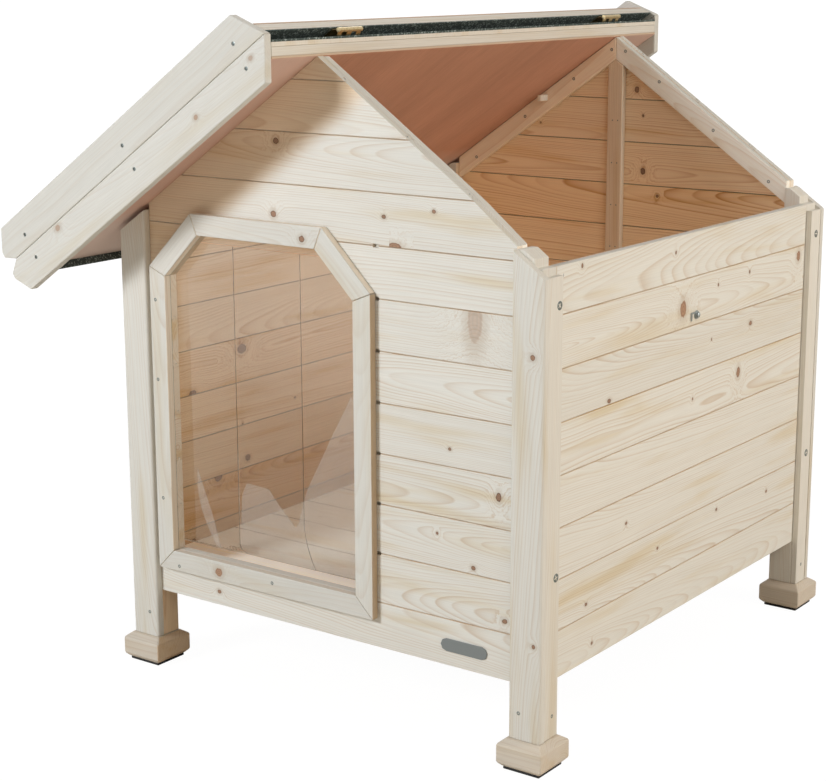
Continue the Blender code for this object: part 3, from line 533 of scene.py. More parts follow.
def linked(name, data):
    """A new object in the scene, at the origin."""
    item = bpy.data.objects.new(name, data)
    bpy.context.scene.collection.objects.link(item)
    return item


def made_plain(item):
    """The mesh that an object's modifiers make."""
    bpy.context.view_layer.update()
    graph = bpy.context.evaluated_depsgraph_get()
    return bpy.data.meshes.new_from_object(item.evaluated_get(graph))


def node_shape(name):
    """A CAD node's mesh as a closed bmesh with plain flat faces."""
    shape = bmesh.new()
    shape.from_mesh(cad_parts[name].data)
    bmesh.ops.remove_doubles(shape, verts=shape.verts, dist=MERGE)
    bmesh.ops.dissolve_limit(shape, angle_limit=math.radians(0.5), verts=shape.verts, edges=shape.edges)
    bmesh.ops.recalc_face_normals(shape, faces=shape.faces)
    return shape


def ease(shape, width, steps=2, above_deg=30):
    """Rounds the edges that turn by more than an angle. Only the rounds are shaded smooth."""
    for face in shape.faces:
        face.smooth = False
    turned = math.radians(above_deg)
    edges = [edge for edge in shape.edges if edge.is_manifold and edge.calc_face_angle() > turned]
    rounds = bmesh.ops.bevel(shape, geom=edges, offset=width, segments=steps, profile=0.5, affect="EDGES",
                             clamp_overlap=True)
    for face in rounds["faces"]:
        face.smooth = True


def finish_object(name, mesh, finish, body="kennel", replaced=(), sharp_deg=None):
    """Makes a mesh the finished piece of its body, in place of the nodes that it stands for."""
    if sharp_deg is not None:
        mesh.shade_smooth()
        mesh.set_sharp_from_angle(angle=math.radians(sharp_deg))
    mesh.materials.clear()
    mesh.materials.append(finish_of(finish))
    piece = linked(name, mesh)
    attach(piece, body)
    if replaced:
        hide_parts(*replaced)
    return piece


def eased_copy(name, suffix, finish, kind, steps=2, above_deg=30, body="kennel", addition=None):
    """A finished copy of a CAD node, rounded as its kind is. addition adds more to its shape."""
    shape = node_shape(name)
    ease(shape, ROUNDING[kind], steps, above_deg)
    if addition:
        addition(shape)
    return finish_object(f"{name}_{suffix}", to_mesh(shape, name), finish, body, replaced=(name,))


def add_box(shape, low, high):
    """Adds a closed box between two corners."""
    middle = (low + high) / 2
    size = high - low
    bmesh.ops.create_cube(shape, size=1, matrix=Matrix.Translation(middle) @ Matrix.Diagonal((*size, 1)))


def add_prism(shape, start, end):
    """Adds a closed prism between two rings of places."""
    rings = [[shape.verts.new(where) for where in ring] for ring in (start, end)]
    count = len(rings[0])
    for i in range(count):
        j = (i + 1) % count
        shape.faces.new((rings[0][i], rings[0][j], rings[1][j], rings[1][i]))
    shape.faces.new(rings[0])
    shape.faces.new(rings[1])
    bmesh.ops.recalc_face_normals(shape, faces=shape.faces)


def facing_matrix(where, facing):
    """Puts a shape's origin at a place and its z along a direction."""
    return Matrix.Translation(where) @ facing.to_track_quat("Z", "Y").to_matrix().to_4x4()


def cut_away(shape, point, outwards):
    """Cuts every board of a shape at a plane, drops what lies beyond it and closes the cut ends."""
    geometry = list(shape.verts) + list(shape.edges) + list(shape.faces)
    result = bmesh.ops.bisect_plane(shape, geom=geometry, plane_co=point, plane_no=outwards, clear_outer=True)
    edges = [item for item in result["geom_cut"] if isinstance(item, bmesh.types.BMEdge) and item.is_boundary]
    bmesh.ops.holes_fill(shape, edges=edges, sides=0)


def cut_mesh(mesh, planes):
    """Cuts a mesh at planes, each a point and the way out of what stays."""
    shape = bmesh.new()
    shape.from_mesh(mesh)
    for point, outwards in planes:
        cut_away(shape, point, outwards)
    return to_mesh(shape, mesh)


def subtract(mesh, tool_shape):
    """Cuts a closed tool shape out of a mesh and gives back the new mesh."""
    bmesh.ops.recalc_face_normals(tool_shape, faces=tool_shape.faces)
    body, tool = linked("cut", mesh), linked("tool", to_mesh(tool_shape, "tool"))
    step = body.modifiers.new("cut", "BOOLEAN")
    step.operation = "DIFFERENCE"
    step.solver = "EXACT"
    step.use_self = True
    step.object = tool
    result = made_plain(body)
    for item in (body, tool):
        bpy.data.objects.remove(item)
    return result


def board_numbers(rng, warmth, brightness, figure):
    """What sets one board apart: its pith and seed, its warmth, brightness and figure, and its mellowness."""
    side = rng.choice((-1, 1))
    pith = (side * rng.uniform(0, 0.050), -rng.uniform(0.015, 0.070), rng.uniform(1, 90))
    tone = (warmth, brightness * rng.uniform(0.965, 1.03), figure * rng.uniform(0.75, 1.1))
    return pith, tone, rng.uniform(0.75, 1)


def mark_wood(mesh, name, along, face, board_of=None, knots=(), warmth=0.0, brightness=1.0, inside=None,
              figure=0.5):
    """Writes what the spruce reads: place in the board, pith, nearest knot and tone.

    along and face are the directions of the board's length and of its outer face. board_of gives a board's
    number and middle for a place. A knot is (place, radius, long, wide, dark). inside gives a face's warmth
    and brightness.
    """
    across = face.cross(along).normalized()
    middle = sum((v.co for v in mesh.vertices), Vector()) / len(mesh.vertices)
    board_of = board_of or (lambda where: (0, middle))
    numbers = {}
    marks = {"board": [], "knot": [], "knot_form": [], "tone": []}
    centres = [middle] * len(mesh.vertices)
    for polygon in mesh.polygons:
        where = polygon.center
        number, centre = board_of(where)
        if number not in numbers:
            numbers[number] = board_numbers(random.Random(f"{name} {number}"), warmth, brightness, figure)
        pith, own_tone, mellow = numbers[number]
        marks["board"] += pith
        warm, bright = (own_tone[0], 1.0) if inside is None else inside(polygon)
        marks["tone"] += (warm * mellow, own_tone[1] * bright, own_tone[2] * (1 + warm))
        own = [k for k in knots if board_of(k[0])[0] == number]
        if own:
            nearest = min(own, key=lambda k: abs((where - k[0]).dot(along)))
            offset = nearest[0] - centre
            marks["knot"] += (offset.dot(along), offset.dot(across), nearest[1])
            marks["knot_form"] += nearest[2:5]
        else:
            marks["knot"] += (0, 0, 0)
            marks["knot_form"] += (1, 1, 0)
        for corner in polygon.vertices:
            centres[corner] = centre
    for key, values in marks.items():
        mesh.attributes.new(key, "FLOAT_VECTOR", "FACE").data.foreach_set("vector", values)
    places = []
    for vertex, centre in zip(mesh.vertices, centres):
        from_centre = vertex.co - centre
        places += (from_centre.dot(along), from_centre.dot(across), from_centre.dot(face))
    mesh.attributes.new("grain", "FLOAT_VECTOR", "POINT").data.foreach_set("vector", places)


def split_between_knots(shape, along, knots, board_of):
    """Cuts the faces of a board halfway between neighbouring knots, so that each part has one knot."""
    by_board = {}
    for knot in knots:
        by_board.setdefault(board_of(knot[0])[0], []).append(knot[0].dot(along))
    for number, places in by_board.items():
        places.sort()
        for low, high in zip(places, places[1:]):
            faces = [f for f in shape.faces if board_of(f.calc_center_median())[0] == number]
            parts = set(faces)
            for face in faces:
                parts.update(face.edges)
                parts.update(face.verts)
            bmesh.ops.bisect_plane(shape, geom=list(parts), plane_co=along * (low + high) / 2, plane_no=along)


def mark_painted_light_faces(mesh, facing):
    """Marks the faces that look one way for painted light and shade under the left roof half."""
    values = [float(polygon.normal.dot(facing) > 0.9) for polygon in mesh.polygons]
    mesh.attributes.new("painted_light_faces", "FLOAT", "FACE").data.foreach_set("value", values)


def wooden(name, along, face, kind="post", steps=2, body="kennel", slot="spruce", finish="spruce", knots=(),
           holes=None, cuts=(), figure=0.35, **tones):
    """A finished copy of a wooden CAD node, rounded as its kind is, with its grain along a direction."""
    shape = node_shape(name)
    for point, outwards in cuts:
        cut_away(shape, point, outwards)
    ease(shape, ROUNDING[kind], steps)
    centre = sum((v.co for v in shape.verts), Vector()) / len(shape.verts)

    def whole(where):
        return 0, centre

    if len(knots) > 1:
        split_between_knots(shape, along, knots, whole)
    mesh = to_mesh(shape, name)
    if holes is not None:
        mesh = subtract(mesh, holes)
    mark_wood(mesh, name, along, face, whole, knots, figure=figure, **tones)
    return finish_object(f"{name}_wood", mesh, finish, body, (name,))


# Geometry Nodes


def new_tree(name, inputs):
    """A tree with named inputs, what it is given, and the function that adds nodes to it."""
    tree = bpy.data.node_groups.new(name, "GeometryNodeTree")
    tree.interface.new_socket(name="Geometry", in_out="OUTPUT", socket_type="NodeSocketGeometry")
    for title, kind in inputs.items():
        tree.interface.new_socket(name=title, in_out="INPUT", socket_type=f"NodeSocket{kind}")
    add = functools.partial(add_node, tree)
    return tree, add("NodeGroupInput").outputs, add


def end_tree(add, instances, material):
    """Ends a tree in real meshes with a material, because the export drops instances."""
    solid = add("GeometryNodeRealizeInstances", {"Geometry": instances})
    finished = add("GeometryNodeSetMaterial", {"Geometry": solid, "Material": material})
    add("NodeGroupOutput", {"Geometry": finished})


def grown(name, tree, values):
    """Runs a Geometry Nodes tree with its named inputs and gives back the mesh that it makes."""
    seed_mesh = bpy.data.meshes.new(name)
    carrier = linked(name, seed_mesh)
    modifier = carrier.modifiers.new(name, "NODES")
    modifier.node_group = tree
    identifiers = {item.name: item.identifier for item in tree.interface.items_tree if item.in_out == "INPUT"}
    for key, value in values.items():
        modifier[identifiers[key]] = value
    mesh = made_plain(carrier)
    mesh.name = name
    carrier.modifiers.remove(modifier)
    bpy.data.objects.remove(carrier)
    bpy.data.meshes.remove(seed_mesh)
    return mesh


# Rows of tongued boards

BOARD_ROW = "tongued board row"


def board_row_tree():
    """A board repeated at a pitch along a direction."""
    tree, given, add = new_tree(BOARD_ROW, {"Board": "Object", "Count": "Int", "Start": "Vector",
                                            "Pitch": "Vector", "Material": "Material"})
    row = add("GeometryNodeMeshLine", {"Count": given["Count"], "Start Location": given["Start"],
                                       "Offset": given["Pitch"]}, mode="OFFSET")
    board = add("GeometryNodeObjectInfo", {"Object": given["Board"]}).outputs["Geometry"]
    end_tree(add, add("GeometryNodeInstanceOnPoints", {"Points": row, "Instance": board}), given["Material"])
    return tree


def tongued_board(length, pitch, thickness, along, up, outward):
    """One tongued and grooved board from its lower left outer corner, as an object to repeat."""
    gap = sizes().joint_gap
    outer, inner = sizes().outer_chamfer, sizes().inner_chamfer
    top = pitch - gap
    # The tongue is the middle 28% of the thickness, and a third of it high
    tongue_low, tongue_high, tongue = thickness * 0.36, thickness * 0.64, thickness * 0.34
    slack = gap / 2
    section = [(outer, 0), (tongue_low - slack, 0), (tongue_low - slack, tongue + gap),
               (tongue_high + slack, tongue + gap), (tongue_high + slack, 0), (thickness - inner, 0),
               (thickness, inner), (thickness, top - inner), (thickness - inner, top), (tongue_high, top),
               (tongue_high, top + tongue), (tongue_low, top + tongue), (tongue_low, top), (outer, top),
               (0, top - outer), (0, outer)]
    shape = bmesh.new()
    add_prism(shape, *([along * reach + up * height - outward * depth for depth, height in section]
                       for reach in (0, length)))
    return linked("board", to_mesh(shape, "board"))


def board_row(name, start, length, count, pitch, along, up, outward, thickness, planes):
    """A row of tongued boards as one mesh, cut at planes."""
    board = tongued_board(length, pitch, thickness, along, up, outward)
    tree = bpy.data.node_groups.get(BOARD_ROW) or board_row_tree()
    mesh = grown(name, tree, {"Board": board, "Count": count, "Start": start, "Pitch": up * pitch,
                              "Material": finish_of("spruce")})
    bpy.data.objects.remove(board)
    return cut_mesh(mesh, planes)


# Knots, as kennel places in millimetres: across or along, height, radius, long, wide, dark
WALL_KNOTS = {
    "front": (
        (-74, 797, 4.0, 1.2, 1.0, 0.8), (-81, 698, 4.6, 1.0, 1.0, 0.55), (107, 709, 2.8, 1.2, 1.0, 0.9),
        (187, 722, 2.6, 1.2, 1.0, 0.6), (124, 672, 6.5, 1.6, 0.7, 0.35), (289, 362, 5.0, 0.8, 1.2, 1.0),
        (192, 296, 2.0, 1.0, 1.0, 0.9), (250, 259, 3.0, 1.2, 1.0, 0.7), (212, 414, 2.2, 1.2, 1.0, 0.8),
        (300, 196, 3.2, 1.2, 1.0, 0.7), (251, 588, 6.5, 1.7, 4.6, -0.6), (-199, 135, 3.0, 1.2, 1.0, 0.5),
    ),
    "right": (
        (367, 558, 8.5, 1.0, 1.35, 0.1), (741, 585, 6.0, 1.0, 1.3, 0.2), (546, 435, 6.0, 0.9, 1.3, 0.4),
        (167, 465, 3.0, 1.5, 1.0, 0.8), (581, 504, 3.5, 1.3, 1.0, 0.6), (572, 583, 2.2, 1.0, 1.2, 1.0),
        (472, 578, 2.0, 1.0, 1.2, 1.0), (341, 641, 2.2, 1.0, 1.2, 1.0), (93, 656, 2.4, 1.0, 1.2, 0.9),
        (456, 500, 1.8, 1.0, 1.2, 0.9), (403, 422, 1.8, 1.0, 1.2, 0.9), (220, 283, 2.4, 1.2, 1.0, 0.8),
        (490, 236, 2.4, 1.2, 1.0, 0.8), (659, 224, 2.4, 1.2, 1.0, 0.8), (311, 223, 2.2, 1.2, 1.0, 0.8),
        (117, 196, 2.4, 1.2, 1.0, 0.8), (134, 136, 2.2, 1.2, 1.0, 0.8),
    ),
    "rear": (
        (49, 693, 4.5, 1.0, 1.2, 0.9), (47, 784, 2.0, 1.0, 1.2, 1.0), (34, 826, 4.0, 1.0, 1.3, 0.7),
        (77, 654, 2.6, 1.0, 1.0, 0.8), (-152, 763, 1.8, 1.0, 1.0, 0.9),
    ),
    "left": (
        (159, 249, 7.0, 1.2, 1.0, 0.6), (228, 265, 5.0, 1.2, 1.0, 0.7), (99, 160, 4.0, 1.2, 1.0, 0.8),
        (220, 442, 7.5, 1.3, 1.0, 0.5), (107, 391, 6.0, 1.2, 1.0, 0.6), (346, 340, 2.0, 1.0, 1.0, 0.9),
        (218, 321, 2.2, 1.0, 1.0, 0.7),
    ),
}

# Simpler tables of knots: across, height, radius, dark
TRIM_KNOTS = {"top": ((-22, 670, 4.4, 0.7),), "bottom": ((-188, 170, 6.0, 0.1),)}
LEG_KNOTS = ((352, 176, 2.6, 0.6), (346, 554, 3.4, 0.5))
BARGE_KNOTS = ((-121, 833, 3.0, -0.3), (-391, 665, 4.0, -0.4), (-24, 912, 3.0, -0.5))

# Middles of the fixings' heads, as kennel places in millimetres
BOLTS = ((24, 616), (24, 261), (781, 616), (781, 261))
LEG_SIDE_SCREWS = ((19, 73), (780, 73))
LEG_FACE_SCREW = (330, 80)
TRIM_SCREWS = ((-296, 559), (-296, 442), (-294, 264), (-266, 164), (-87, 174))
RAFTER_SCREWS = ((-8, 890), (18, 888), (82, 841), (182, 768), (282, 693),
                 (-80, 840), (-176, 773), (-276, 698))
GABLE_NAILS = (41, 142, 238)
STAPLES = ((35, 651), (48, 650))
HINGE_SCREWS = {"left": (-12.6, 928.8), "right": (-18.3, 937.0)}
# The three screws in a hinge leaf: along it and down the slope from its middle, in millimetres
HINGE_SCREW_ROW = ((-17, 3), (0, -3), (17, 3))
# The two nails that hold a rear board to the stud, across from the middle in millimetres, and those boards
STUD_NAILS = (-4, 6)
NAILED_BOARDS = range(1, 10)
# Down the bargeboard from the ridge, and off its upper edge's line
BARGE_SCREWS = ((51.5, 18.5), (300, 18.5), (545, 18.5))

# Warmth and brightness of faces, most of them painted light and shade: painted warm bounce light and brighter
# painted light on the walls' inner faces, the floor's top, the rafters, the stud and the trim's reveals;
# painted shade, warm and darker, on the left legs' inner faces and on the trim's edges away from the light.
# Joints and grooves are darker of their own. A side wall's inner face runs from its foot's values to its
# top's, painted paler and brighter towards the top
TONES = {
    "outer": (0.0, 1.0), "gable_inside": (0.9, 1.3), "side_foot": (1.05, 1.0), "side_top": (0.65, 1.45),
    "joint": (1.0, 0.5), "sawn_top": (0.0, 0.9), "board_end": (0.3, 1.2), "groove": (0.6, 0.85),
    "floor_top": (0.0, 1.5), "floor_joint": (1.0, 0.25),
    "rafter_left": (0.5, 1.38), "rafter_right": (0.05, 1.42), "stud": (0.6, 1.05), "stud_right": (0.3, 1.05),
    "left_leg_inside": (0.8, 1.1), "post": (0.06, 1.0), "foot": (0.32, 1.0),
    "trim_front": (0.0, 0.90), "trim_edge": (0.25, 0.96), "trim_right_edge": (0.7, 0.76),
    "reveal": (0.3, 1.25),
}


def wall_knots(table, turn):
    """Knots of a table with their places in the part's frame."""
    return [(turn(a * MM, z * MM), radius * MM, long, wide, dark) for a, z, radius, long, wide, dark in table]


def plain_knots(table, long):
    """Knots of a simpler table, each a little longer than wide."""
    return [(place(x * MM, 0, z * MM), radius * MM, long, 1.0, dark) for x, z, radius, dark in table]


def first_joint():
    return WALL_BOTTOM + BOTTOM_BOARD


def finish_wall(name, mesh, along, face, knots, middle):
    """Marks the grain of a boarded wall and puts it in place of its node."""
    pitch = sizes().board_pitch

    def board_of(where):
        number = math.floor((where.z - first_joint()) / pitch + 1)
        return number, Vector((middle.x, middle.y, first_joint() + (number - 0.5) * pitch))

    def inside(polygon):
        """Painted warm bounce light inside, paler up a side wall; warm joints; pale outer face and sawn upper
        edges.
        """
        outwards, upwards = polygon.normal.dot(face), polygon.normal.z
        if outwards < -0.9:
            if along == X:
                return TONES["gable_inside"]
            up = (polygon.center.z - WALL_BOTTOM) / SIDE_HEIGHT
            return [foot + (top - foot) * up for foot, top in zip(TONES["side_foot"], TONES["side_top"])]
        if outwards > 0.9:
            return TONES["outer"]
        if outwards < -0.3:
            return TONES["joint"]
        if abs(outwards) < 0.1 and upwards > 0.5:
            return TONES["sawn_top"]
        return TONES["board_end" if abs(polygon.normal.dot(along)) > 0.9 else "groove"]

    shape = bmesh.new()
    shape.from_mesh(mesh)
    split_between_knots(shape, along, knots, board_of)
    to_mesh(shape, mesh)
    mark_wood(mesh, name, along, face, board_of, knots, inside=inside, figure=0.6)
    if name == "front_wall":
        mark_painted_light_faces(mesh, face)
    finish_object(f"{name}_boards", mesh, "spruce", replaced=(name,), sharp_deg=25)


def door_outline(inset):
    """Kennel places (x, z) of the door way's trim outline, drawn in by an inset."""
    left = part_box("trim_left")[0].x - MIDDLE
    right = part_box("trim_right")[1].x - MIDDLE
    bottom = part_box("trim_bottom")[0].z
    top_low, top_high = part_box("trim_top")
    clip = top_low.x - MIDDLE - left - inset * (2 - math.sqrt(2))
    left, right, bottom, top = left + inset, right - inset, bottom + inset, top_high.z - inset
    return [(left, bottom), (right, bottom), (right, top - clip), (right - clip, top), (left + clip, top),
            (left, top - clip)]


def add_prism_y(shape, outline, start, end):
    """Adds an outline of kennel places (x, z) carried along y."""
    add_prism(shape, *([place(x, y, z) for x, z in outline] for y in (start, end)))


def wall_row(name, corner, length, top, along, outward, thickness, planes):
    """Boards up a wall from an outer corner on the ground, cut at the wall's foot and at planes."""
    pitch = sizes().board_pitch
    start = corner + Z * (first_joint() - pitch + sizes().joint_gap / 2)
    count = math.ceil((top - first_joint()) / pitch) + 1
    foot = (Vector((0, 0, WALL_BOTTOM)), -Z)
    return board_row(name, start, length, count, pitch, along, Z, outward, thickness, (foot, *planes))


class KENNEL_OT_walls(bpy.types.Operator):
    """Four walls of single tongued and grooved boards"""
    bl_idname = "kennel.walls"
    bl_label = "Walls"

    notch_length: size_property("Notch length", 0.006, "Open end of a joint beside the trim")
    notch_height: size_property("Notch height", 0.0050, "Height of that open end")
    notch_depth: size_property("Notch depth", 0.005, "Depth of that open end")

    def execute(self, context):
        peak = Vector((MIDDLE, 0, GABLE_APEX))
        for end, outward in ENDS:
            name = f"{end}_wall"
            y = 0 if end == "front" else WALL_DEPTH
            wall = wall_row(name, place(-GABLE_HALF, y, 0), 2 * GABLE_HALF, GABLE_APEX, X, outward,
                            BOARD_THICKNESS, ((peak, OUT_LEFT), (peak, OUT_RIGHT)))
            if end == "front":
                wall = cut_mesh(subtract(wall, self.door_way()), (KINK,))
            knots = wall_knots(WALL_KNOTS[end], lambda x, z: place(x, y, z))
            finish_wall(name, wall, X, outward, knots, place(0, y, 0))
        for side, outward in SIDES:
            name = f"{side}_wall"
            low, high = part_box(name)
            x = low.x if side == "left" else high.x
            wall = wall_row(name, Vector((x, low.y, 0)), high.y - low.y, high.z, Y, outward, high.x - low.x,
                            ((Vector((0, 0, high.z)), Z),))
            knots = wall_knots(WALL_KNOTS[side], lambda y, z: place(x - MIDDLE, y, z))
            finish_wall(name, wall, Y, outward, knots, Vector((x, (low.y + high.y) / 2, 0)))
        return {"FINISHED"}

    def door_way(self):
        """What is cut out of the front wall: the opening, and the dark end of each groove beside its trim."""
        shape = bmesh.new()
        low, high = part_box("trim_left")
        add_prism_y(shape, door_outline(high.x - low.x), -CUT_OVERRUN, BOARD_THICKNESS + CUT_OVERRUN)
        low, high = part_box("trim_right")
        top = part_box("trim_top")[1].z
        under_trim = 0.004
        joint = first_joint() + sizes().board_pitch
        half = Z * self.notch_height / 2
        while joint < top:
            if joint > low.z:
                add_box(shape, Vector((high.x - under_trim, FRONT - CUT_OVERRUN, joint)) - half,
                        Vector((high.x + self.notch_length, FRONT + self.notch_depth, joint)) + half)
            joint += sizes().board_pitch
        return shape


class KENNEL_OT_floor(bpy.types.Operator):
    """Floor boards, notched round the posts, and the two bearers"""
    bl_idname = "kennel.floor"
    bl_label = "Floor"

    def execute(self, context):
        low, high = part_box("floor")
        pitch = sizes().floor_pitch
        start = Vector((low.x, low.y + sizes().joint_gap / 2, high.z))
        count = math.ceil((high.y - low.y) / pitch)
        mesh = board_row("floor", start, high.x - low.x, count, pitch, X, Y, Z, high.z - low.z,
                         ((Vector((0, high.y, 0)), Y),))
        mesh = subtract(mesh, self.notches(low, high))

        def board_of(where):
            number = math.floor((where.y - low.y) / pitch)
            return number, Vector((MIDDLE, low.y + (number + 0.5) * pitch, high.z))

        # Painted light: the floor's top is painted brighter, as the light through the open roof would make
        # it; its joints are darker
        mark_wood(mesh, "floor", X, Z, board_of,
                  inside=lambda face: TONES["floor_top" if face.normal.z > 0.9 else "floor_joint"])
        finish_object("floor_boards", mesh, "spruce", replaced=("floor",), sharp_deg=25)
        for side, _ in SIDES:
            wooden(f"floor_bearer_{side}", Y, Z, "framing", warmth=0.4)
        return {"FINISHED"}

    def notches(self, low, high):
        """Boxes round the four posts, from the outer ends of the floor boards."""
        shape = bmesh.new()
        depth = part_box("leg_post_front_right")[1].y + sizes().joint_gap
        inner, outer = FRONT_HIGH.x - MIDDLE, high.x - MIDDLE + CUT_OVERRUN
        ends = ((low.y - CUT_OVERRUN, depth), (2 * FRONT + WALL_DEPTH - depth, high.y + CUT_OVERRUN))
        for left, right in ((MIDDLE - outer, MIDDLE - inner), (MIDDLE + inner, MIDDLE + outer)):
            for start_y, end_y in ends:
                add_box(shape, Vector((left, start_y, low.z - CUT_OVERRUN)),
                        Vector((right, end_y, high.z + CUT_OVERRUN)))
        return shape


class KENNEL_OT_framing(bpy.types.Operator):
    """Gable rafters, rear stud and curtain batten"""
    bl_idname = "kennel.framing"
    bl_label = "Framing"

    def execute(self, context):
        for end, outward in ENDS:
            for side, down in (("left", LEFT_DOWN), ("right", RIGHT_DOWN)):
                # Painted light: the rafters' inner faces are painted brighter, the left ones warm as with
                # bounce light
                wooden(f"rafter_{end}_{side}", down, -outward, "framing",
                       cuts=(KINK,) if (end, side) == ("front", "right") else (),
                       inside=lambda face: TONES["sawn_top" if face.normal.z > 0.5 else f"rafter_{side}"])
        # Painted warm bounce light on the stud, less warm on its right face
        wooden("rear_stud", Z, -Y, "framing",
               inside=lambda face: TONES["stud_right" if face.normal.x > 0.7 else "stud"])
        wooden("curtain_header", X, Y, warmth=0.5)
        return {"FINISHED"}


class KENNEL_OT_packing_block(bpy.types.Operator):
    """Small block on the rear left rafter"""
    bl_idname = "kennel.packing_block"
    bl_label = "Packing block"

    across: size_property("Across", -0.134, "Middle of the block, from the middle of the wall")
    below: size_property("Below", 0.007, "How far its top lies under the gable's slope")
    width: size_property("Width", 0.006, "Width of the block")
    height: size_property("Height", 0.010, "Height of the block")
    depth: size_property("Depth", 0.022, "Depth of the block")

    def execute(self, context):
        shape = bmesh.new()
        high = Vector((MIDDLE + self.across + self.width / 2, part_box("rafter_rear_left")[0].y,
                       roof_line(self.across) - self.below))
        add_box(shape, high - Vector((self.width, self.depth, self.height)), high)
        ease(shape, ROUNDING["block"])
        mesh = to_mesh(shape, "packing_block")
        # Painted light: the block stands in the roof's shade and is painted brighter
        mark_wood(mesh, "packing_block", X, -Y, brightness=1.3)
        finish_object("packing_block", mesh, "spruce")
        return {"FINISHED"}


def leg_tones(side, own):
    """Tones of a leg's faces: those of the left legs that look under the kennel are painted warmer, a painted
    shade.
    """
    return lambda face: TONES["left_leg_inside" if side == "left" and face.normal.x > 0.5 else own]


class KENNEL_OT_legs(bpy.types.Operator):
    """Face boards and posts of the four legs"""
    bl_idname = "kennel.legs"
    bl_label = "Legs"

    strip_drop: size_property("Strip drop", 0.010, "How far the outer strip ends below the side wall's top")

    def execute(self, context):
        for end, outward in ENDS:
            for side, away in SIDES:
                knots = plain_knots(LEG_KNOTS, 1.1) if (end, side) == ("front", "right") else ()
                wooden(f"leg_board_{end}_{side}", Z, outward, "board", knots=knots, figure=0.5,
                       brightness=0.95)
                wooden(f"leg_post_{end}_{side}", Z, away, inside=leg_tones(side, "post"),
                       holes=self.strip_end(end, side))
        return {"FINISHED"}

    def strip_end(self, end, side):
        """What is cut off the post's outer strip, which ends below the top of the side wall."""
        low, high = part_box(f"leg_post_{end}_{side}")
        wall_low, wall_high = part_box(f"{side}_wall")
        left, right = wall_high.x, high.x + CUT_OVERRUN
        if side == "left":
            left, right = low.x - CUT_OVERRUN, wall_low.x
        shape = bmesh.new()
        add_box(shape, Vector((left, low.y - CUT_OVERRUN, wall_high.z - self.strip_drop)),
                Vector((right, high.y + CUT_OVERRUN, high.z + CUT_OVERRUN)))
        return shape


class KENNEL_OT_feet(bpy.types.Operator):
    """Chamfered feet and their pads"""
    bl_idname = "kennel.feet"
    bl_label = "Feet"

    def execute(self, context):
        for end, _ in ENDS:
            for side, _ in SIDES:
                wooden(f"foot_{end}_{side}", X, Z, "foot", slot="foot_wood", brightness=0.85,
                       inside=leg_tones(side, "foot"))
                eased_copy(f"pad_{end}_{side}", "moulded", "rubber", "pad", 3)
        return {"FINISHED"}


class KENNEL_OT_trim(bpy.types.Operator):
    """Six mitred boards round the door way"""
    bl_idname = "kennel.trim"
    bl_label = "Door trim"

    edge: size_property("Edge", 0.0012, "Rounding of the boards' edges")
    mitre_gap: size_property("Mitre gap", 0.0006, "Gap between two boards")

    def execute(self, context):
        low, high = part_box("trim_left")
        outer, inner = door_outline(0), door_outline(high.x - low.x)
        reveal_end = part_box("trim_right")[0].x

        def shaded(face):
            """Painted shade browns the edges, the right trim's outer side most; painted light brightens the
            reveals.
            """
            if face.normal.x > 0.7:
                return TONES["trim_right_edge" if face.center.x > reveal_end else "reveal"]
            return TONES["trim_edge" if face.normal.y > -0.7 else "trim_front"]

        names = ("bottom", "right", "right_clip", "top", "left_clip", "left")
        for i, side in enumerate(names):
            j = (i + 1) % len(names)
            name = f"trim_{side}"
            along = (place(outer[j][0], 0, outer[j][1]) - place(outer[i][0], 0, outer[i][1])).normalized()
            step = along * self.mitre_gap / 2
            outline = [(x + sign * step.x, z + sign * step.z)
                       for (x, z), sign in ((outer[i], 1), (outer[j], -1), (inner[j], -1), (inner[i], 1))]
            shape = bmesh.new()
            add_prism_y(shape, outline, low.y - FRONT, high.y - FRONT)
            ease(shape, self.edge, 3)
            mesh = to_mesh(shape, name)
            knots = plain_knots(TRIM_KNOTS.get(side, ()), 1.1)
            mark_wood(mesh, name, along, -Y, knots=knots, inside=shaded, figure=0.3)
            finish_object(f"{name}_wood", mesh, "spruce", replaced=(name,))
        return {"FINISHED"}


class KENNEL_OT_roof(bpy.types.Operator):
    """Layers of both roof halves: felt, deck, battens and underside"""
    bl_idname = "kennel.roof"
    bl_label = "Roof"

    def execute(self, context):
        # At rest the right half lies folded over the left one, so both slope the same way
        for side, body in ROOF_HALVES:
            underside = wooden(f"roof_{side}_underside", LEFT_DOWN, OUT_LEFT, "plywood", body=body,
                               slot="plywood", finish="plywood",
                               inside=lambda face: (float(abs(face.normal.dot(OUT_LEFT)) <= 0.7), 1.0))
            if side == "left":
                mark_painted_light_faces(underside.data, -OUT_LEFT)
            wooden(f"roof_{side}_deck", LEFT_DOWN, OUT_LEFT, "plywood", body=body, slot="plywood",
                   warmth=0.15)
            for layer in ("ridge_batten", "eave_batten"):
                wooden(f"roof_{side}_{layer}", Y, OUT_LEFT, "board", body=body, warmth=0.1)
            eased_copy(f"roof_{side}_felt", "mineral", "roofing_felt", "felt", body=body)
        return {"FINISHED"}


def barge_screws(end, side, sunk=0.0):
    """Places and facings of the screws in one bargeboard."""
    low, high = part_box(f"bargeboard_{end}_left")
    face = dict(ENDS)[end]
    ridge = Vector((MIDDLE, low.y if end == "front" else high.y, high.z)) - face * sunk
    off = -OUT_LEFT if side == "left" else OUT_LEFT
    return [(ridge + LEFT_DOWN * down * MM + off * away * MM, face) for down, away in BARGE_SCREWS]


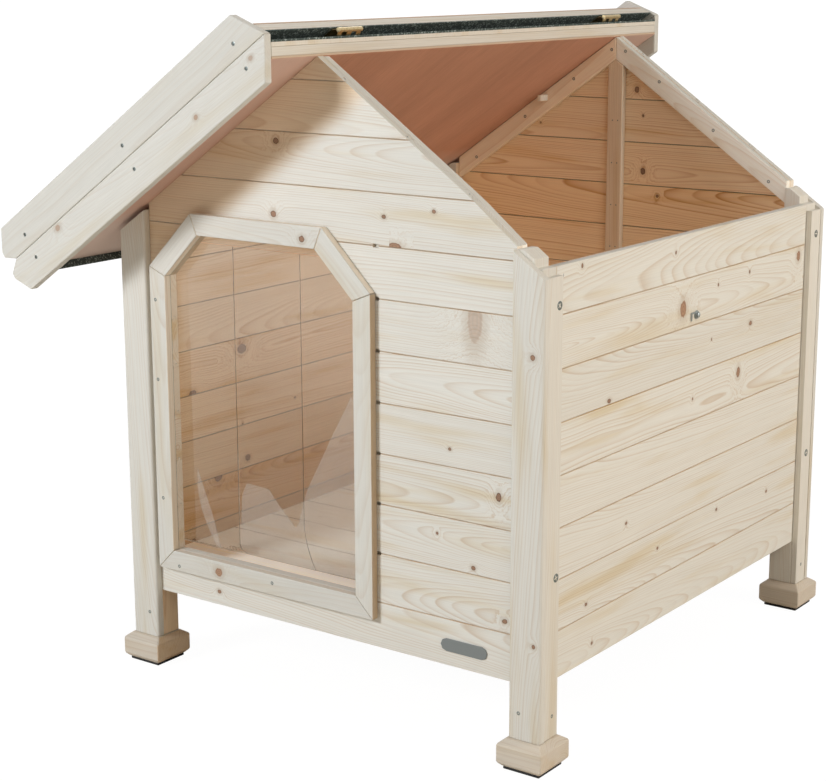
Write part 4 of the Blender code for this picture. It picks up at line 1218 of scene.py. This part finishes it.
class KENNEL_OT_bargeboards(bpy.types.Operator):
    """Bargeboards at both ends of both roof halves"""
    bl_idname = "kennel.bargeboards"
    bl_label = "Bargeboards"

    def execute(self, context):
        for end, outward in ENDS:
            for side, body in ROOF_HALVES:
                knots = plain_knots(BARGE_KNOTS, 1.3) if (end, side) == ("front", "left") else ()
                wooden(f"bargeboard_{end}_{side}", LEFT_DOWN, outward, "bargeboard", 3, body=body,
                       knots=knots, brightness=0.89, figure=0.22, holes=self.countersinks(end, side))
        return {"FINISHED"}

    def countersinks(self, end, side):
        """Cones round the heads of one bargeboard's screws."""
        head = sizes().screw_head
        shape = bmesh.new()
        for where, facing in barge_screws(end, side):
            bmesh.ops.create_cone(shape, cap_ends=True, segments=20, radius1=head * 0.45, radius2=head * 0.62,
                                  depth=head * 0.5, matrix=facing_matrix(where, facing))
        return shape


def heads_tree():
    """One head on every point of a mesh, turned to the point's facing and spun about it."""
    tree, given, add = new_tree("fixing heads", {"Head": "Object", "Places": "Object", "Spin": "Float",
                                                 "Seed": "Int", "Material": "Material"})
    points, head = [add("GeometryNodeObjectInfo", {"Object": given[name]}).outputs["Geometry"]
                    for name in ("Places", "Head")]
    facing = add("GeometryNodeInputNamedAttribute", {"Name": "facing"}, data_type="FLOAT_VECTOR")
    turned = add("FunctionNodeAlignRotationToVector", {"Vector": facing}, axis="Z")
    most = add("ShaderNodeCombineXYZ", {"Z": given["Spin"]})
    spin = add("FunctionNodeRandomValue", {"Min": (0, 0, 0), "Max": most, "Seed": given["Seed"]},
               data_type="FLOAT_VECTOR")
    own_turn = add("FunctionNodeEulerToRotation", {0: spin})
    spun = add("FunctionNodeRotateRotation", {"Rotation": turned, "Rotate By": own_turn},
               rotation_space="LOCAL")
    heads = add("GeometryNodeInstanceOnPoints", {"Points": points, "Instance": head, "Rotation": spun})
    end_tree(add, heads, given["Material"])
    return tree


def plain_head(width, thickness):
    """Round head with an eased rim; its top lies in z = 0."""
    shape = bmesh.new()
    bmesh.ops.create_cone(shape, cap_ends=True, segments=20, radius1=width * 0.3, radius2=width / 2,
                          depth=thickness, matrix=Matrix.Translation((0, 0, -thickness / 2)))
    ease(shape, width * 0.06)
    return to_mesh(shape, "head")


def cross_head(width):
    """Countersunk head with a cross recess."""
    thickness = width * 0.3
    long, wide, deep = width * 0.29, width * 0.065, thickness * 0.7
    recess = bmesh.new()
    for x, y in ((long, wide), (wide, long)):
        add_box(recess, Vector((-x, -y, -deep)), Vector((x, y, thickness)))
    return subtract(plain_head(width, thickness), recess)


def staple_crown():
    """Crown of a fine wire staple."""
    shape = bmesh.new()
    add_box(shape, Vector((-2.0, -0.5, -1.0)) * MM, Vector((2.0, 0.5, 0)) * MM)
    ease(shape, ROUNDING["staple"])
    return to_mesh(shape, "staple")


class KENNEL_OT_fixings(bpy.types.Operator):
    """Screws, bolts, nails and staples, one mesh for each body and metal"""
    bl_idname = "kennel.fixings"
    bl_label = "Fixings"

    proud: size_property("Proud", 0.0001, "How far a head stands out of the wood")
    sunk: size_property("Sunk", 0.0005, "How deep a bargeboard's head lies")
    seed: bpy.props.IntProperty(name="Seed", description="Turns of the heads", default=7)

    def execute(self, context):
        tree = heads_tree()
        screw, bolt, hinge_screw = [cross_head(width) for width in (
            sizes().screw_head, sizes().bolt_head, sizes().screw_head * 0.9)]
        nail = plain_head(sizes().nail_head, sizes().nail_head)
        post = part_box("leg_post_front_right")[1].x - MIDDLE + self.proud
        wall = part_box("right_wall")[1].x - MIDDLE + self.proud
        bolts, screws, nails = [], [], []
        for _, away in SIDES:
            bolts += [(place(away.x * post, y * MM, z * MM), away) for y, z in BOLTS]
            screws += [(place(away.x * post, y * MM, z * MM), away) for y, z in LEG_SIDE_SCREWS]
            for end, face in ENDS:
                across, up = LEG_FACE_SCREW
                depth = self.depth(f"leg_board_{end}_right", face)
                screws.append((place(away.x * across * MM, depth, up * MM), face))
        screws += [(place(x * MM, self.depth("trim_left", -Y), z * MM), -Y) for x, z in TRIM_SCREWS]
        for end, outward in ENDS:
            depth = self.depth(f"rafter_{end}_right", -outward)
            screws += [(place(x * MM, depth, z * MM), -outward) for x, z in RAFTER_SCREWS]
        for end, _ in ENDS:
            screws += barge_screws(end, "left", self.sunk)
        for depth in (BOARD_THICKNESS / 2, WALL_DEPTH - BOARD_THICKNESS / 2):
            nails += [(place(x * MM, depth, roof_line(x * MM)) + OUT_RIGHT * self.proud, OUT_RIGHT)
                      for x in GABLE_NAILS]
        stud = self.depth("rear_stud", -Y)
        for number in NAILED_BOARDS:
            height = first_joint() + (number - 0.5) * sizes().board_pitch
            nails += [(place(x * MM, stud, height), -Y) for x in STUD_NAILS]
        staples = [(place(wall, y * MM, z * MM), X) for y, z in STAPLES]
        self.finish("kennel_fixings", tree, "kennel", "zinc", "screws",
                    ((screw, screws, 1), (bolt, bolts, 1), (nail, nails, 1), (staple_crown(), staples, 0)))
        flap_screws = [row for end, _ in ENDS for row in barge_screws(end, "right", self.sunk)]
        self.finish("roof_flap_fixings", tree, "roof_flap", "zinc", "screws", ((screw, flap_screws, 1),))
        for side, body in ROOF_HALVES:
            rows = self.hinge_screws(side)
            self.finish(f"hinge_screws_{side}", tree, body, "brass", "brass", ((hinge_screw, rows, 1),))
        return {"FINISHED"}

    def depth(self, name, face):
        """Kennel depth of a head on the face of a node that looks to the front or to the rear."""
        low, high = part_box(name)
        return (low.y if face.y < 0 else high.y) - FRONT + face.y * self.proud

    def hinge_screws(self, side):
        """Places and facings of the screws in both leaves of one roof half."""
        facing = OUT_LEFT if side == "left" else -OUT_LEFT
        x, z = HINGE_SCREWS[side]
        rows = []
        for end, _ in ENDS:
            low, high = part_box(f"hinge_{end}_leaf_{side}")
            middle = Vector((MIDDLE + x * MM, (low.y + high.y) / 2, z * MM)) + facing * self.proud
            rows += [(middle + Y * along * MM + LEFT_DOWN * down * MM, facing)
                     for along, down in HINGE_SCREW_ROW]
        return rows

    def finish(self, name, tree, body, slot, finish, kinds):
        """Puts heads of several kinds on their places as one piece."""
        shape = bmesh.new()
        for mesh, rows, spins in kinds:
            points = bpy.data.meshes.new("places")
            points.from_pydata([where for where, _ in rows], [], [])
            facings = [value for _, facing in rows for value in facing]
            points.attributes.new("facing", "FLOAT_VECTOR", "POINT").data.foreach_set("vector", facings)
            head, carrier = linked("head", mesh), linked("places", points)
            heads = grown(name, tree, {"Head": head, "Places": carrier, "Spin": spins * math.tau,
                                       "Seed": self.seed, "Material": finish_of(finish)})
            shape.from_mesh(heads)
            bpy.data.meshes.remove(heads)
            for item in (head, carrier):
                bpy.data.objects.remove(item)
        finish_object(name, to_mesh(shape, name), finish, body, sharp_deg=25)


# A strip curls below a line through these two kennel places (x, z), and at the least this far over its foot.
# The power makes the curl sharper towards the foot
CURL_LINE = ((-0.1675, 0.209), (-0.0465, 0.265))
CURL_LEAST, CURL_POWER = 0.012, 1.7


class KENNEL_OT_curtain(bpy.types.Operator):
    """Clear sheet slit into three strips that curl inwards at their foot"""
    bl_idname = "kennel.curtain"
    bl_label = "Curtain"

    curl: size_property("Curl", 0.024, "How far a strip's foot turns inwards")
    cut_length: size_property("Cut length", 0.459, "Flat length of a strip below its fold")

    def execute(self, context):
        eased_copy("curtain_band", "sheet", "clear_pvc", "curtain")
        for side in ("left", "middle", "right"):
            self.make_strip(side)
        return {"FINISHED"}

    def make_strip(self, side):
        """A strip as two grids a sheet's thickness apart, joined at their edges."""
        name = f"curtain_strip_{side}"
        low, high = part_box(name)
        columns, rows = 24, 80
        places = [low.x + (high.x - low.x) * i / columns for i in range(columns + 1)]
        heights = [high.z + (low.z - high.z) * j / rows for j in range(rows + 1)]
        shape = bmesh.new()
        outer, inner = [[[shape.verts.new((x, y + self.inward(x, z, low.z), z)) for x in places]
                         for z in heights] for y in (low.y, high.y)]
        for j in range(rows):
            for i in range(columns):
                shape.faces.new((outer[j][i], outer[j][i + 1], outer[j + 1][i + 1], outer[j + 1][i]))
                shape.faces.new((inner[j][i], inner[j + 1][i], inner[j + 1][i + 1], inner[j][i + 1]))
        for i in range(columns):
            for j in (0, rows):
                shape.faces.new((outer[j][i], outer[j][i + 1], inner[j][i + 1], inner[j][i]))
        for j in range(rows):
            for i in (0, columns):
                shape.faces.new((outer[j][i], outer[j + 1][i], inner[j + 1][i], inner[j][i]))
        bmesh.ops.recalc_face_normals(shape, faces=shape.faces)
        strip = finish_object(f"{name}_sheet", to_mesh(shape, name), "clear_pvc", f"strip_{side}",
                              replaced=(name,))

    def inward(self, x, z, bottom):
        """How far the sheet lies inwards of its hanging plane."""
        (left, left_height), (right, right_height) = CURL_LINE
        start = left_height + (x - MIDDLE - left) / (right - left) * (right_height - left_height)
        start = max(start, bottom + CURL_LEAST)
        share = max(0.0, (start - z) / (start - bottom))
        return self.curl * share ** CURL_POWER


class KENNEL_OT_fittings(bpy.types.Operator):
    """Hinges, side hook and the bare oval plate"""
    bl_idname = "kennel.fittings"
    bl_label = "Fittings"

    washer: size_property("Washer", 0.0125, "Width of the washer under the hook")

    def execute(self, context):
        for end, _ in ENDS:
            for side, body in ROOF_HALVES:
                eased_copy(f"hinge_{end}_leaf_{side}", "brassed", "brass", "hinge", above_deg=50,
                           body=body)
        eased_copy("hook_screw", "plated", "zinc", "fitting", above_deg=50, addition=self.add_washer)
        eased_copy("side_hook", "plated", "zinc", "fitting", above_deg=50, body="hook")
        eased_copy("blank_plate", "satin", "grey_plate", "fitting", 3, 50)
        return {"FINISHED"}

    def add_washer(self, shape):
        """A thin washer between the wall and the hook."""
        low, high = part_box("hook_screw")
        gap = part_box("side_hook")[0].x - low.x
        middle = Vector((low.x + gap * 0.45, (low.y + high.y) / 2, (low.z + high.z) / 2))
        bmesh.ops.create_cone(shape, cap_ends=True, segments=32, radius1=self.washer / 2,
                              radius2=self.washer / 2, depth=gap * 0.8, matrix=facing_matrix(middle, X))


# The camera's place, its turn in degrees and the shift of its frame
CAMERA_PLACE = (1.616808, -2.295302, 1.034362)
CAMERA_TURN = (77.08177, -0.03757, 35.35434)
CAMERA_SHIFT = (-0.040995, -0.010167)

# Name, degrees to the right of the front, degrees up, size, power and colour of each lamp
LAMPS = (("key", -20, 21.5, 0.9, 103, "F6FAFF"), ("side", 100, 18, 2.0, 74, "FFF8F0"),
         ("right", 54, 30, 1.6, 24, "FFF4E6"), ("over", 90, 62, 2.5, 36, "FFF8EF"),
         ("back", 222, 24, 2.0, 45, "FFFFFF"))
LAMP_DISTANCE = 4.0
LIT_POINT = Vector((0, 0, 0.5))

# The sky's strength as a light, and how much of its white shows in gloss
SKY_LIGHT, SKY_GLOSS = 0.04, 0.6

# The floor's linear colour, the distances between which it turns wholly white to the camera, the share of
# that white nearer by, and the white's strength
FLOOR_COLOUR = (0.77, 0.71, 0.62, 1)
FLOOR_NEAR, FLOOR_FAR = 0.9, 2.2
FLOOR_WHITE_SHARE, FLOOR_WHITE = 0.92, 1.06


class KENNEL_OT_stage(bpy.types.Operator):
    """Camera at the photograph's place, pale floor, soft lamps and an even sky"""
    bl_idname = "kennel.stage"
    bl_label = "Stage"

    lens: bpy.props.FloatProperty(name="Lens", description="Focal length in millimetres", default=80.363)
    floor_size: size_property("Floor size", 60.0, "Radius of the floor")

    def execute(self, context):
        camera = linked("camera", bpy.data.cameras.new("camera"))
        camera.location = CAMERA_PLACE
        camera.rotation_euler = Euler([math.radians(turn) for turn in CAMERA_TURN])
        camera.data.sensor_width = 36
        camera.data.lens = self.lens
        camera.data.shift_x, camera.data.shift_y = CAMERA_SHIFT
        context.scene.camera = camera
        self.make_floor()
        for name, azimuth, elevation, size, power, colour in LAMPS:
            lamp = linked(name, bpy.data.lights.new(name, "AREA"))
            lamp.data.size = size
            lamp.data.energy = power
            lamp.data.color = linear(colour)
            turn, rise = math.radians(azimuth), math.radians(elevation)
            towards = Vector((math.sin(turn) * math.cos(rise), -math.cos(turn) * math.cos(rise),
                              math.sin(rise)))
            lamp.location = LIT_POINT + towards * LAMP_DISTANCE
            lamp.rotation_euler = towards.to_track_quat("Z", "Y").to_euler()
        self.make_sky(context.scene)
        context.scene.view_settings.view_transform = "Standard"
        return {"FINISHED"}

    def make_sky(self, scene):
        """White where the camera sees it, also through the curtain, and dim as a light."""
        scene.world = bpy.data.worlds.new("even sky")
        scene.world.use_nodes = True
        scene.world.node_tree.nodes.clear()
        add = functools.partial(add_node, scene.world.node_tree)
        light, white = [add("ShaderNodeBackground", {"Color": (1, 1, 1, 1), "Strength": strength})
                        for strength in (SKY_LIGHT, 1.0)]
        path = add("ShaderNodeLightPath").outputs
        glossy = add("ShaderNodeMath", {0: path["Is Glossy Ray"], 1: SKY_GLOSS}, operation="MULTIPLY")
        seen = add("ShaderNodeMath", {0: path["Is Camera Ray"], 1: glossy}, operation="MAXIMUM")
        seen = add("ShaderNodeMath", {0: seen, 1: path["Is Transmission Ray"]}, operation="MAXIMUM")
        both = add("ShaderNodeMixShader", {0: seen, 1: light, 2: white})
        add("ShaderNodeOutputWorld", {"Surface": both})

    def make_floor(self):
        """Takes the kennel's shadow. To the camera it is mostly white, and wholly so further out."""
        shape = bmesh.new()
        bmesh.ops.create_circle(shape, cap_ends=True, segments=96, radius=self.floor_size)
        floor = linked("studio_floor", to_mesh(shape, "floor"))
        material, add = new_material("matt white floor")
        where = add("ShaderNodeTexCoord").outputs["Object"]
        away = add("ShaderNodeVectorMath", {0: where}, operation="LENGTH")
        far = add("ShaderNodeMapRange", {"Value": away, "From Min": FLOOR_NEAR, "From Max": FLOOR_FAR},
                  interpolation_type="SMOOTHSTEP")
        whiter = add("ShaderNodeMapRange", {"Value": far, "To Min": FLOOR_WHITE_SHARE})
        camera_ray = add("ShaderNodeLightPath").outputs["Is Camera Ray"]
        seen = add("ShaderNodeMath", {0: whiter, 1: camera_ray}, operation="MULTIPLY")
        matt = add("ShaderNodeBsdfDiffuse", {"Color": FLOOR_COLOUR})
        white = add("ShaderNodeEmission", {"Color": (1, 1, 1, 1), "Strength": FLOOR_WHITE})
        both = add("ShaderNodeMixShader", {0: seen, 1: matt, 2: white})
        add("ShaderNodeOutputMaterial", {"Surface": both})
        floor.data.materials.append(material)


class KENNEL_PT_panel(bpy.types.Panel):
    """Lists the kennel's sizes, colours and pieces"""
    bl_idname = "KENNEL_PT_panel"
    bl_label = "Wooden dog kennel"
    bl_space_type = "VIEW_3D"
    bl_region_type = "UI"
    bl_category = "Kennel"

    def draw(self, context):
        for group in (context.scene.kennel_sizes, context.scene.kennel_colours):
            for name in group.__annotations__:
                self.layout.prop(group, name)
        for operator in PIECES:
            self.layout.operator(operator.bl_idname)


PIECES = (KENNEL_OT_stage, KENNEL_OT_walls, KENNEL_OT_floor, KENNEL_OT_framing, KENNEL_OT_packing_block,
          KENNEL_OT_legs, KENNEL_OT_feet, KENNEL_OT_trim, KENNEL_OT_roof, KENNEL_OT_bargeboards,
          KENNEL_OT_curtain, KENNEL_OT_fittings, KENNEL_OT_fixings)
CLASSES = (KennelSizes, KennelColours) + PIECES + (KENNEL_PT_panel,)


def register():
    for item in CLASSES:
        bpy.utils.register_class(item)
    bpy.types.Scene.kennel_sizes = bpy.props.PointerProperty(type=KennelSizes)
    bpy.types.Scene.kennel_colours = bpy.props.PointerProperty(type=KennelColours)


def unregister():
    del bpy.types.Scene.kennel_colours
    del bpy.types.Scene.kennel_sizes
    for item in reversed(CLASSES):
        bpy.utils.unregister_class(item)


def main():
    register()
    for operator in PIECES:
        group, name = operator.bl_idname.split(".")
        getattr(getattr(bpy.ops, group), name)()


if __name__ == "__main__":
    main()
